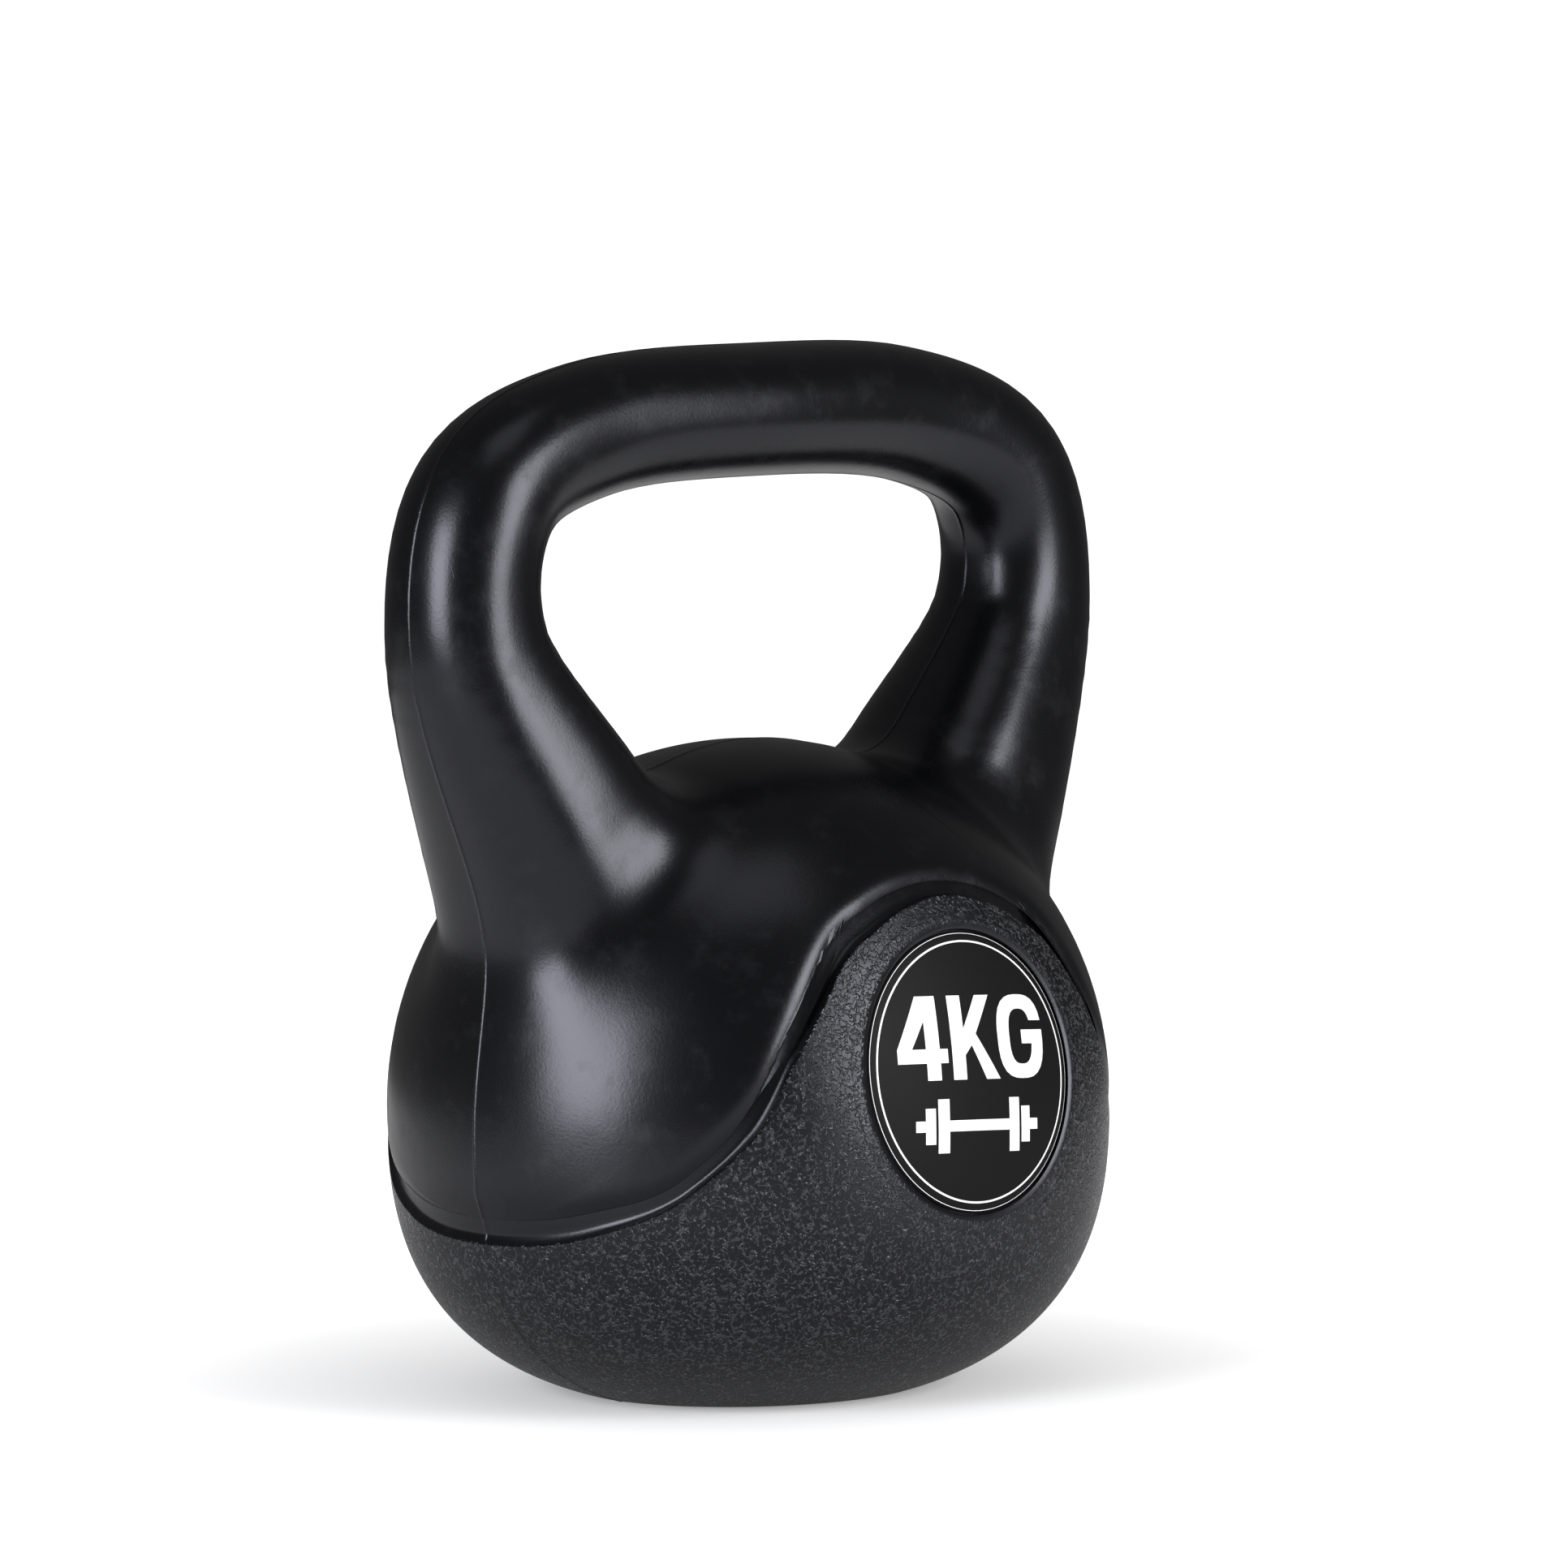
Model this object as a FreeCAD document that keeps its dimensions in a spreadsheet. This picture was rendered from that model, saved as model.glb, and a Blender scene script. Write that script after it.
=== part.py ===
"""Blow-moulded kettlebell: one plastic skin, a concrete filling, a pressed-in base plug and two badge discs.

Frame: millimetres, +Z up, the floor at Z = 0 and the origin under the middle of the bell.
The handle loop lies in the XZ plane, which is also the parting plane of the mould. The front faces -Y.
"""
import FreeCAD, Part
import math
import os
import Sketcher
from FreeCAD import Placement, Rotation, Vector

doc = FreeCAD.newDocument("kettlebell")

# ---------------------------------------------------------------- driving sizes
# name, value in mm (or degrees, or a plain power), what it is
SIZES = [
    ("overall_height", 214.2, "floor to the top of the grip at its middle"),
    ("handle_width", 188.2, "handle loop, outside to outside at its widest level"),
    ("grip_thick", 27.1, "grip, top to underside"),
    ("grip_deep", 30.9, "grip, front to rear"),
    ("bend_inset", 33.4, "start of the corner, inwards from the line of the side"),
    ("bend_drop", 2.4, "start of the corner, below the line of the grip"),
    ("bend_thick", 27.8, "thickness where the corner starts"),
    ("bend_deep", 28.0, "depth where the corner starts"),
    ("shoulder_inset", 4.8, "shoulder, inwards from the line of the side"),
    ("shoulder_drop", 15.2, "shoulder, below the line of the grip"),
    ("shoulder_thick", 29.3, "thickness at the shoulder"),
    ("shoulder_deep", 29.8, "depth at the shoulder"),
    ("side_drop", 45.4, "widest level of the loop, below the line of the grip"),
    ("side_thick", 31.2, "thickness at the widest level"),
    ("side_deep", 31.7, "depth at the widest level"),
    ("waist_reach", 58.5, "leg centre at the waist, from the middle"),
    ("waist_share", 0.382, "waist of the leg, as a share of the way up from its foot to the widest level"),
    ("waist_thick", 42.9, "leg thickness at the waist"),
    ("waist_deep", 47.5, "leg depth at the waist"),
    ("foot_reach", 47.1, "leg centre where it meets the bowl, from the middle"),
    ("foot_height", 94.5, "where the leg meets the bowl, above the floor"),
    ("foot_thick", 45.5, "leg thickness where it meets the bowl"),
    ("foot_deep", 39.6, "leg depth where it meets the bowl"),
    ("root_reach", 32.7, "end of the leg inside the bowl, from the middle"),
    ("root_height", 67.2, "end of the leg inside the bowl, above the floor"),
    ("root_thick", 58.5, "leg thickness at its end"),
    ("root_deep", 62.5, "leg depth at its end"),
    ("grip_power", 2.1, "squareness of the grip section, 2 is an ellipse"),
    ("leg_power", 2.9, "squareness of the leg section"),
    ("bowl_width", 155.7, "bowl, side to side"),
    ("bowl_deep", 141.0, "bowl, front to rear before its pads are flattened"),
    ("bowl_level", 58.6, "height of the widest part of the bowl"),
    ("bowl_rise", 74.6, "bowl, widest part to crown"),
    ("bowl_fall", 62.2, "bowl, widest part to the point its underside would reach"),
    ("crown_power", 2.02, "squareness of the bowl above its widest part"),
    ("keel_power", 2.6, "squareness of the bowl below its widest part"),
    ("plan_power", 2.0, "squareness of the bowl seen from above"),
    ("leg_blend", 13.7, "width of the hollow fillet between legs and bowl"),
    ("base_round", 4.0, "radius round the flat base"),
    ("pad_reach", 66.2, "badge pad centre, forward of the parting plane"),
    ("pad_level", 69.7, "badge pad centre, above the floor"),
    ("pad_tilt", 8.5, "badge pad, leaning back, degrees"),
    ("pad_dome", 140.0, "radius of the gentle dome of the badge pad"),
    ("pad_blend", 2.5, "width of the soft edge of the badge pad"),
    ("wall", 3.0, "moulded wall"),
    ("fill_gap", 0.3, "shrinkage gap between the wall and the set concrete"),
    ("badge_radius", 28.5, "badge disc"),
    ("badge_thick", 0.8, "badge disc"),
    ("badge_seat_depth", 1.6, "depth of the badge seat in the pad"),
    ("badge_clearance", 0.3, "badge edge to the seat's wall"),
    ("badge_edge_round", 0.3, "rounded edge of the badge"),
    ("filler_radius", 15.0, "filling hole in the base"),
    ("plug_clearance", 0.15, "plug to the filling hole and to its recess"),
    ("flange_radius", 20.0, "plug flange"),
    ("flange_thick", 1.8, "plug flange"),
    ("flange_set_in", 0.6, "plug flange, above the floor"),
    ("plug_wall", 1.8, "wall of the plug's hollow stem"),
    ("plug_bead", 0.7, "snap bead, beyond the filling hole"),
    ("bead_length", 2.4, "snap bead, along the plug"),
    ("stem_air", 0.3, "seat of the snap bead above the neck"),
    ("dimple_radius", 5.0, "gate dimple in the middle of the plug's face"),
    ("dimple_depth", 0.8, "gate dimple in the middle of the plug's face"),
]

sheet = doc.addObject("Spreadsheet::Sheet", "sizes")
for row, (alias, value, meaning) in enumerate(SIZES, start=1):
    sheet.set("A%d" % row, alias)
    sheet.set("B%d" % row, str(value))
    sheet.set("C%d" % row, meaning)
    sheet.setAlias("B%d" % row, alias)
doc.recompute()


size_of = {alias: float(sheet.get(alias)) for alias, value, meaning in SIZES}


def bind(thing, **formulas):
    """Bind properties of an object to formulas over the sheet's cells, named as sizes.NAME."""
    for name, formula in formulas.items():
        thing.setExpression(name.replace("__", "."), formula)


# ---------------------------------------------------------------- the form as a field
# The outside is the zero level of one smooth field that is negative inside the bell and grows by
# about 1 for each millimetre outwards. The inner wall is the same field at minus the wall.
def smooth_min(a, b, width):
    """The smaller of two values, with the corner between them rounded over a width."""
    share = min(1.0, max(0.0, 0.5 + 0.5 * (b - a) / width))
    return b * (1.0 - share) + a * share - width * share * (1.0 - share)


def smooth_max(a, b, width):
    """The larger of two values, with the corner between them rounded over a width."""
    return -smooth_min(-a, -b, width)


GRIP_LEVEL = size_of["overall_height"] - size_of["grip_thick"] / 2
SIDE_REACH = size_of["handle_width"] / 2 - size_of["side_thick"] / 2
SHOULDER_LEVEL = GRIP_LEVEL - size_of["shoulder_drop"]
SIDE_LEVEL = GRIP_LEVEL - size_of["side_drop"]
FOOT_LEVEL = size_of["foot_height"]
WAIST_LEVEL = FOOT_LEVEL + size_of["waist_share"] * (SIDE_LEVEL - FOOT_LEVEL)


def station(reach, level, name):
    """One station of the handle: x, z, half thickness, half depth and squareness of its section."""
    down_the_leg = (SHOULDER_LEVEL - level) / (SHOULDER_LEVEL - FOOT_LEVEL)
    down_the_leg = min(1.0, max(0.0, down_the_leg))
    power = size_of["grip_power"] + (size_of["leg_power"] - size_of["grip_power"]) * down_the_leg
    return (reach, level, size_of[name + "_thick"] / 2, size_of[name + "_deep"] / 2, power)


STATIONS = [
    station(0.0, GRIP_LEVEL, "grip"),
    station(SIDE_REACH - size_of["bend_inset"], GRIP_LEVEL - size_of["bend_drop"], "bend"),
    station(SIDE_REACH - size_of["shoulder_inset"], SHOULDER_LEVEL, "shoulder"),
    station(SIDE_REACH, SIDE_LEVEL, "side"),
    station(size_of["waist_reach"], WAIST_LEVEL, "waist"),
    station(size_of["foot_reach"], FOOT_LEVEL, "foot"),
    station(size_of["root_reach"], size_of["root_height"], "root"),
]
STEPS_PER_SPAN = 8


def catmull_rom(p0, p1, p2, p3, t):
    """The point at t, 0 to 1, of the smooth curve from p1 to p2."""
    return tuple(
        0.5 * (2 * b + (c - a) * t + (2 * a - 5 * b + 4 * c - d) * t ** 2 + (3 * b - a - 3 * c + d) * t ** 3)
        for a, b, c, d in zip(p0, p1, p2, p3)
    )


def handle_line():
    """Half of the handle's centre line, from the middle of the grip to the root, with its sections."""
    mirrored = (-STATIONS[1][0],) + STATIONS[1][1:]
    beyond = tuple(2 * last - before for last, before in zip(STATIONS[-1], STATIONS[-2]))
    row = [mirrored] + STATIONS + [beyond]
    line = []
    for span in range(1, len(row) - 2):
        for step in range(STEPS_PER_SPAN):
            line.append(catmull_rom(*row[span - 1:span + 3], step / STEPS_PER_SPAN))
    return line + [STATIONS[-1]]


HANDLE_LINE = handle_line()


def handle_field(x, y, z):
    """Distance-like field of the handle: a superellipse carried along the centre line."""
    best = None
    for start, end in zip(HANDLE_LINE[:-1], HANDLE_LINE[1:]):
        run_x, run_z = end[0] - start[0], end[1] - start[1]
        along = ((x - start[0]) * run_x + (z - start[1]) * run_z) / (run_x * run_x + run_z * run_z)
        along = min(1.0, max(0.0, along))
        off_x, off_z = x - start[0] - along * run_x, z - start[1] - along * run_z
        gap = off_x * off_x + off_z * off_z
        if best is None or gap < best[0]:
            best = (gap, along, start, end)
    gap, along, start, end = best
    half_thick, half_deep, power = (s + along * (e - s) for s, e in zip(start[2:], end[2:]))
    across = (math.sqrt(gap) / half_thick) ** power + (abs(y) / half_deep) ** power
    return (across ** (1.0 / power) - 1.0) * min(half_thick, half_deep)


PAD_TILT = math.radians(size_of["pad_tilt"])
PAD_CENTRE_Y = size_of["pad_reach"] - size_of["pad_dome"] * math.cos(PAD_TILT)
PAD_CENTRE_Z = size_of["pad_level"] - size_of["pad_dome"] * math.sin(PAD_TILT)


def bowl_field(x, y, z):
    """Distance-like field of the bowl: a superellipsoid with a gently domed pad at front and rear."""
    above = z - size_of["bowl_level"]
    reach = size_of["bowl_rise"] if above > 0 else size_of["bowl_fall"]
    power = size_of["crown_power"] if above > 0 else size_of["keel_power"]
    plan = size_of["plan_power"]
    half_wide, half_deep = size_of["bowl_width"] / 2, size_of["bowl_deep"] / 2
    round_plan = ((abs(x) / half_wide) ** plan + (abs(y) / half_deep) ** plan) ** (1.0 / plan)
    bowl = ((round_plan ** power + (abs(above) / reach) ** power) ** (1.0 / power) - 1.0) * half_deep
    pad = math.sqrt(x ** 2 + (abs(y) - PAD_CENTRE_Y) ** 2 + (z - PAD_CENTRE_Z) ** 2) - size_of["pad_dome"]
    return smooth_max(bowl, pad, size_of["pad_blend"])


def body_field(x, y, z):
    """The whole outside, before the base is cut flat."""
    return smooth_min(bowl_field(x, y, z), handle_field(x, y, z), size_of["leg_blend"])


# ---------------------------------------------------------------- from the field to a spline skin
# The bell is a ring round the window under the grip. Sections fan out from the middle of the window,
# and in each section rays leave one point of the spine all round. The points where they meet a level
# of the field are the net of one closed spline surface, periodic both ways.
WINDOW_LEVEL = (GRIP_LEVEL - size_of["grip_thick"] / 2 + size_of["bowl_level"] + size_of["bowl_rise"]) / 2
HALF_LOOP = 64
HALF_ROUND = 22
DEGREE = 3


def spine_radius(turn):
    """How far from the window's middle the spine lies. Turn 0 points up at the grip, pi down at the bowl."""
    line = [(p[0], p[1] - WINDOW_LEVEL) for p in HANDLE_LINE]
    polar = [(math.atan2(reach, height), math.hypot(reach, height)) for reach, height in line]
    polar.append((math.pi, WINDOW_LEVEL - size_of["bowl_level"]))
    for (turn_a, radius_a), (turn_b, radius_b) in zip(polar[:-1], polar[1:]):
        if turn_a <= turn <= turn_b:
            return radius_a + (radius_b - radius_a) * (turn - turn_a) / (turn_b - turn_a)
    return polar[-1][1]


def reach_level(level, start, direction):
    """Walk along a ray by the distance that the field still promises, until the level is met."""
    travelled = 0.0
    for step in range(60):
        x, y, z = (s + travelled * d for s, d in zip(start, direction))
        left = level - body_field(x, y, z)
        travelled += 0.8 * left
        if abs(left) < 0.002:
            break
    return tuple(s + travelled * d for s, d in zip(start, direction))


def quarter_net(level):
    """Points on the level for the quarter x >= 0, y <= 0: rows round the loop, columns round a section."""
    net = []
    for i in range(HALF_LOOP + 1):
        turn = math.pi * i / HALF_LOOP
        radius = spine_radius(turn)
        start = (radius * math.sin(turn), 0.0, WINDOW_LEVEL + radius * math.cos(turn))
        row = []
        for j in range(HALF_ROUND + 1):
            lean = math.pi * j / HALF_ROUND
            outward = math.cos(lean)
            direction = (outward * math.sin(turn), -math.sin(lean), outward * math.cos(turn))
            row.append(reach_level(level, start, direction))
        net.append(row)
    return net


def full_net(level):
    """The quarter, mirrored front to rear and side to side, as a net that closes on itself both ways."""
    quarter = quarter_net(level)
    rounds = [row + [(x, -y, z) for x, y, z in row[-2:0:-1]] for row in quarter]
    return rounds + [[(-x, y, z) for x, y, z in row] for row in rounds[-2:0:-1]]


def sharpened(net):
    """Poles whose cubic spline passes through the net: each point moved out by what the spline rounds off."""
    rows, columns = len(net), len(net[0])

    def rounded(points):
        count = len(points)
        return [
            tuple((a + 4 * b + c) / 6 for a, b, c in zip(points[k - 1], points[k], points[(k + 1) % count]))
            for k in range(count)
        ]

    along = [rounded(row) for row in net]
    both = list(zip(*[rounded(list(column)) for column in zip(*along)]))
    return [
        [Vector(*(2 * p - s for p, s in zip(net[i][j], both[i][j]))) for j in range(columns)]
        for i in range(rows)
    ]


def skin_solid(level):
    """The closed solid inside one level of the field."""
    poles = sharpened(full_net(level))
    loop_knots = [float(k) for k in range(len(poles) + 1)]
    round_knots = [float(k) for k in range(len(poles[0]) + 1)]
    surface = Part.BSplineSurface()
    single_loop, single_round = [1] * len(loop_knots), [1] * len(round_knots)
    surface.buildFromPolesMultsKnots(
        poles, single_loop, single_round, loop_knots, round_knots, True, True, DEGREE, DEGREE
    )
    solid = Part.Solid(Part.Shell([surface.toShape()]))
    if solid.Volume < 0:
        solid.reverse()
    return solid


def skin(name, level):
    """A document object holding the solid inside one level of the field."""
    thing = doc.addObject("Part::Feature", name)
    thing.Shape = skin_solid(level)
    return thing


# ---------------------------------------------------------------- helpers for primitives and booleans
# Sketcher's own numbers for the points of an edge and for a sketch's two axes; the origin is the
# START of the X axis.
START, END, CENTRE = 1, 2, 3
X_AXIS, Z_AXIS = -1, -2


def cylinder(name, radius, height, base_z, **more):
    """An upright cylinder on the Z axis; radius, height and base_z are formulas over the sheet."""
    thing = doc.addObject("Part::Cylinder", name)
    bind(thing, Radius=radius, Height=height, Placement__Base__z=base_z, **more)
    return thing


def ground_block(name, top_z):
    """A block under the bell, wider than it, that ends at the height top_z."""
    thing = doc.addObject("Part::Box", name)
    bind(thing, Length="2 * sizes.handle_width", Width="2 * sizes.bowl_deep", Height="sizes.bowl_level")
    bind(thing, Placement__Base__x="-sizes.handle_width", Placement__Base__y="-sizes.bowl_deep")
    bind(thing, Placement__Base__z=top_z + " - sizes.bowl_level")
    return thing


def fused(name, things):
    """Several solids as one tool."""
    thing = doc.addObject("Part::MultiFuse", name)
    thing.Shapes = things
    return thing


def cut(name, base, tool):
    """Base less tool."""
    thing = doc.addObject("Part::Cut", name)
    thing.Base = base
    thing.Tool = tool
    return thing


def origin_plane(body, role):
    """One of a body's own origin planes, by its role."""
    return next(f for f in body.Origin.OriginFeatures if f.Role == role)


def profile_sketch(body, name):
    """An empty sketch on the body's XZ plane, for a shape turned about the body's Z axis."""
    sketch = body.newObject("Sketcher::SketchObject", name)
    sketch.AttachmentSupport = [(origin_plane(body, "XZ_Plane"), "")]
    sketch.MapMode = "FlatFace"
    return sketch


def turned(body, name, sketch):
    """The sketch turned a full circle about its vertical axis."""
    turn = body.newObject("PartDesign::Revolution", name)
    turn.Profile = sketch
    turn.ReferenceAxis = (sketch, ["V_Axis"])
    turn.Angle = 360
    return turn


def held(sketch, kind, names, value, formula):
    """A dimension of the sketch, held to a formula over the sheet."""
    number = sketch.addConstraint(Sketcher.Constraint(kind, *names, value))
    sketch.setExpression("Constraints[%d]" % number, formula)


def outline(sketch, corners):
    """A closed outline of straight edges. Each corner is its radius and height as formulas."""
    count = len(corners)
    rough = [Vector(1 + k, k * k, 0) for k in range(count)]
    for k in range(count):
        sketch.addGeometry(Part.LineSegment(rough[k], rough[(k + 1) % count]), False)
    for k, (radius, height) in enumerate(corners):
        sketch.addConstraint(Sketcher.Constraint("Coincident", k - 1 if k else count - 1, END, k, START))
        if radius is None:
            sketch.addConstraint(Sketcher.Constraint("PointOnObject", k, START, Z_AXIS))
        else:
            held(sketch, "DistanceX", (X_AXIS, START, k, START), rough[k].x, radius)
        held(sketch, "DistanceY", (X_AXIS, START, k, START), rough[k].y, height)


# ---------------------------------------------------------------- shell: one blow-moulded skin
# The base is cut flat and its edge rounded. The cavity is the inner wall, closed by the base's own
# wall, which steps up round the filling hole so that the plug's flange sits in a recess.
outside = skin("outside", 0.0)
outside_flat = cut("outside_flat", outside, ground_block("under_floor", "0"))
doc.recompute()
outside_round = doc.addObject("Part::Fillet", "outside_round")
outside_round.Base = outside_flat
FLAT = 0.01
base_edges = [
    number
    for number, edge in enumerate(outside_flat.Shape.Edges, start=1)
    if all(abs(edge.valueAt(edge.FirstParameter + part * (edge.LastParameter - edge.FirstParameter)).z) < FLAT
           for part in (0.0, 0.5, 1.0))
]
outside_round.Edges = [(number, size_of["base_round"], size_of["base_round"]) for number in base_edges]

RECESS_DEPTH = "(sizes.flange_set_in + sizes.flange_thick)"
NECK_TOP = "(%s + sizes.wall)" % RECESS_DEPTH
RECESS_RADIUS = "(sizes.flange_radius + sizes.plug_clearance)"
NECK_RADIUS = "(%s + sizes.wall)" % RECESS_RADIUS

cavity_full = skin("cavity_full", -size_of["wall"])
base_and_neck = fused("base_and_neck", [
    ground_block("base_wall", "sizes.wall"),
    cylinder("neck", NECK_RADIUS, NECK_TOP, "0"),
])
cavity = cut("cavity", cavity_full, base_and_neck)
flange_recess = cylinder("flange_recess", RECESS_RADIUS, RECESS_DEPTH + " + sizes.wall", "-sizes.wall")
filler_hole = cylinder("filler_hole", "sizes.filler_radius", "sizes.bowl_level", "-sizes.wall")

# The pads, front and rear, are the same: side is -1 at the front and +1 at the rear.
PADS = {"front": -1, "rear": 1}


def on_pad(thing, side, lift):
    """Stand an object on a pad, its own Z axis square to it, moved out by lift."""
    thing.Placement = Placement(Vector(0, 0, 0), Rotation(Vector(1, 0, 0), 90))
    out = "(%s) * cos(sizes.pad_tilt * 1 deg)" % lift
    up = "(%s) * sin(sizes.pad_tilt * 1 deg)" % lift
    bind(thing, Placement__Base__y="%d * (sizes.pad_reach + %s)" % (side, out))
    bind(thing, Placement__Base__z="sizes.pad_level + " + up)
    bind(thing, Placement__Rotation__Angle="%d * (90 deg - sizes.pad_tilt * 1 deg)" % -side)


def badge_seat(end, side):
    """The round pocket for a badge: a cylinder into the pad, ended by the dome of the seat."""
    plunge = doc.addObject("Part::Cylinder", end + "_plunge")
    bind(plunge, Radius="sizes.badge_radius + sizes.badge_clearance", Height="2 * sizes.badge_radius")
    on_pad(plunge, side, "-sizes.badge_radius")
    dome = doc.addObject("Part::Sphere", end + "_dome")
    bind(dome, Radius="sizes.pad_dome - sizes.badge_seat_depth")
    on_pad(dome, side, "-sizes.pad_dome")
    return cut(end + "_seat", plunge, dome)


hollows = fused("hollows", [cavity, flange_recess, filler_hole] + [badge_seat(e, s) for e, s in PADS.items()])
shell = cut("shell", outside_round, hollows)

# ---------------------------------------------------------------- concrete_fill: cast inside the shell
# It fills bowl, legs and grip, less a shrinkage gap, and leaves room for the neck and the plug's stem.
GAP_LEVEL = "(sizes.wall + sizes.fill_gap)"
fill_full = skin("fill_full", -size_of["wall"] - size_of["fill_gap"])
STEM_TOP = "(%s + sizes.stem_air + sizes.bead_length)" % NECK_TOP
stem_room = cylinder(
    "stem_room", "sizes.filler_radius + sizes.plug_bead + sizes.fill_gap", STEM_TOP + " + sizes.fill_gap", "0"
)
below_fill = fused("below_fill", [
    ground_block("base_gap", GAP_LEVEL),
    cylinder("neck_gap", NECK_RADIUS + " + sizes.fill_gap", NECK_TOP + " + sizes.fill_gap", "0"),
    stem_room,
])
concrete_fill = cut("concrete_fill", fill_full, below_fill)

# ---------------------------------------------------------------- fill_plug: snapped into the base
# A cap with a hollow stem. The flange sits in the recess, clear of the floor, and the bead on the
# stem snaps over the top of the neck.
STEM_RADIUS = "(sizes.filler_radius - sizes.plug_clearance)"
BORE_RADIUS = "(%s - sizes.plug_wall)" % STEM_RADIUS
BEAD_RADIUS = "(sizes.filler_radius + sizes.plug_bead)"
BEAD_FOOT = "(%s + sizes.stem_air)" % NECK_TOP
DIMPLE_LEVEL = "(sizes.flange_set_in + sizes.dimple_depth)"
ON_AXIS = None

fill_plug = doc.addObject("PartDesign::Body", "fill_plug")
plug_profile = profile_sketch(fill_plug, "plug_profile")
outline(plug_profile, [
    (ON_AXIS, DIMPLE_LEVEL),
    ("sizes.dimple_radius", DIMPLE_LEVEL),
    ("sizes.dimple_radius", "sizes.flange_set_in"),
    ("sizes.flange_radius", "sizes.flange_set_in"),
    ("sizes.flange_radius", RECESS_DEPTH),
    (STEM_RADIUS, RECESS_DEPTH),
    (STEM_RADIUS, BEAD_FOOT),
    (BEAD_RADIUS, BEAD_FOOT),
    (STEM_RADIUS, STEM_TOP),
    (BORE_RADIUS, STEM_TOP),
    (BORE_RADIUS, RECESS_DEPTH),
    (ON_AXIS, RECESS_DEPTH),
])
turned(fill_plug, "plug_turned", plug_profile)

# ---------------------------------------------------------------- badges: domed discs in their seats
SEAT_RADIUS = "(sizes.pad_dome - sizes.badge_seat_depth)"
FACE_RADIUS = "(%s + sizes.badge_thick)" % SEAT_RADIUS


def badge_profile(body, name):
    """Half the badge's section: two arcs about the dome's centre, joined on the axis and at the rim."""
    sketch = profile_sketch(body, name)
    seat_radius = size_of["pad_dome"] - size_of["badge_seat_depth"]
    face_radius = seat_radius + size_of["badge_thick"]
    middle = Vector(0, -size_of["pad_dome"], 0)
    quarter_turn = math.pi / 2
    arcs = []
    for radius in (seat_radius, face_radius):
        rim_angle = math.acos(size_of["badge_radius"] / radius)
        circle = Part.Circle(middle, Vector(0, 0, 1), radius)
        arcs.append(sketch.addGeometry(Part.ArcOfCircle(circle, rim_angle, quarter_turn), False))
    seat, face = arcs
    ends = {arc: (sketch.getPoint(arc, START), sketch.getPoint(arc, END)) for arc in arcs}
    rim = sketch.addGeometry(Part.LineSegment(ends[seat][0], ends[face][0]), False)
    core = sketch.addGeometry(Part.LineSegment(ends[seat][1], ends[face][1]), False)
    for joint in ((rim, START, seat, START), (rim, END, face, START), (core, START, seat, END),
                  (core, END, face, END), (seat, CENTRE, face, CENTRE)):
        sketch.addConstraint(Sketcher.Constraint("Coincident", *joint))
    for point in ((seat, CENTRE), (core, START), (core, END)):
        sketch.addConstraint(Sketcher.Constraint("PointOnObject", *point, Z_AXIS))
    sketch.addConstraint(Sketcher.Constraint("Vertical", rim))
    held(sketch, "DistanceY", (seat, CENTRE, X_AXIS, START), size_of["pad_dome"], "sizes.pad_dome")
    held(sketch, "Radius", (seat,), seat_radius, SEAT_RADIUS)
    held(sketch, "Radius", (face,), face_radius, FACE_RADIUS)
    held(sketch, "DistanceX", (X_AXIS, START, rim, START), size_of["badge_radius"], "sizes.badge_radius")
    return sketch


def badge(end, side):
    """One badge, turned from its section, its front rim rounded, standing in its seat on the pad."""
    body = doc.addObject("PartDesign::Body", end + "_badge")
    disc = turned(body, end + "_badge_disc", badge_profile(body, end + "_badge_section"))
    doc.recompute()
    rims = [
        (edge.BoundBox.ZMax, "Edge%d" % number)
        for number, edge in enumerate(disc.Shape.Edges, start=1)
        if edge.BoundBox.XLength > size_of["badge_radius"] and edge.BoundBox.ZLength < FLAT
    ]
    rounded = body.newObject("PartDesign::Fillet", end + "_badge_rim")
    rounded.Base = (disc, [max(rims)[1]])
    bind(rounded, Radius="sizes.badge_edge_round")
    on_pad(body, side, "0")
    return body


for end, side in PADS.items():
    badge(end, side)

# ---------------------------------------------------------------- check and write
SUB_PARTS = ("shell", "concrete_fill", "fill_plug", "front_badge", "rear_badge")
doc.recompute()
faults = [thing.Name for thing in doc.Objects if {"Invalid", "Error"} & set(thing.State)]
for name in SUB_PARTS:
    thing = doc.getObject(name)
    thing.Label = name
    if thing.Shape.isNull() or not thing.Shape.isValid() or len(thing.Shape.Solids) != 1:
        faults.append(name)
if faults:
    raise RuntimeError("these did not build as one valid solid each: " + ", ".join(faults))

os.makedirs("parts", exist_ok=True)
for name in SUB_PARTS:
    shape = doc.getObject(name).Shape
    shape.exportStep("parts/%s.step" % name)
    box = shape.optimalBoundingBox()
    print("%s: %.1f x %.1f x %.1f mm, from Z %.2f" % (name, box.XLength, box.YLength, box.ZLength, box.ZMin))
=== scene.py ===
"""Looks of the kettlebell: its moulded skin with grained bowl and border, its printed badges, and the studio.

Lengths are millimetres until a mesh is made, and then metres. The front faces -Y and the floor is z = 0.
"""

import math

import bpy
import numpy as np
from mathutils import Matrix, Vector


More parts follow.
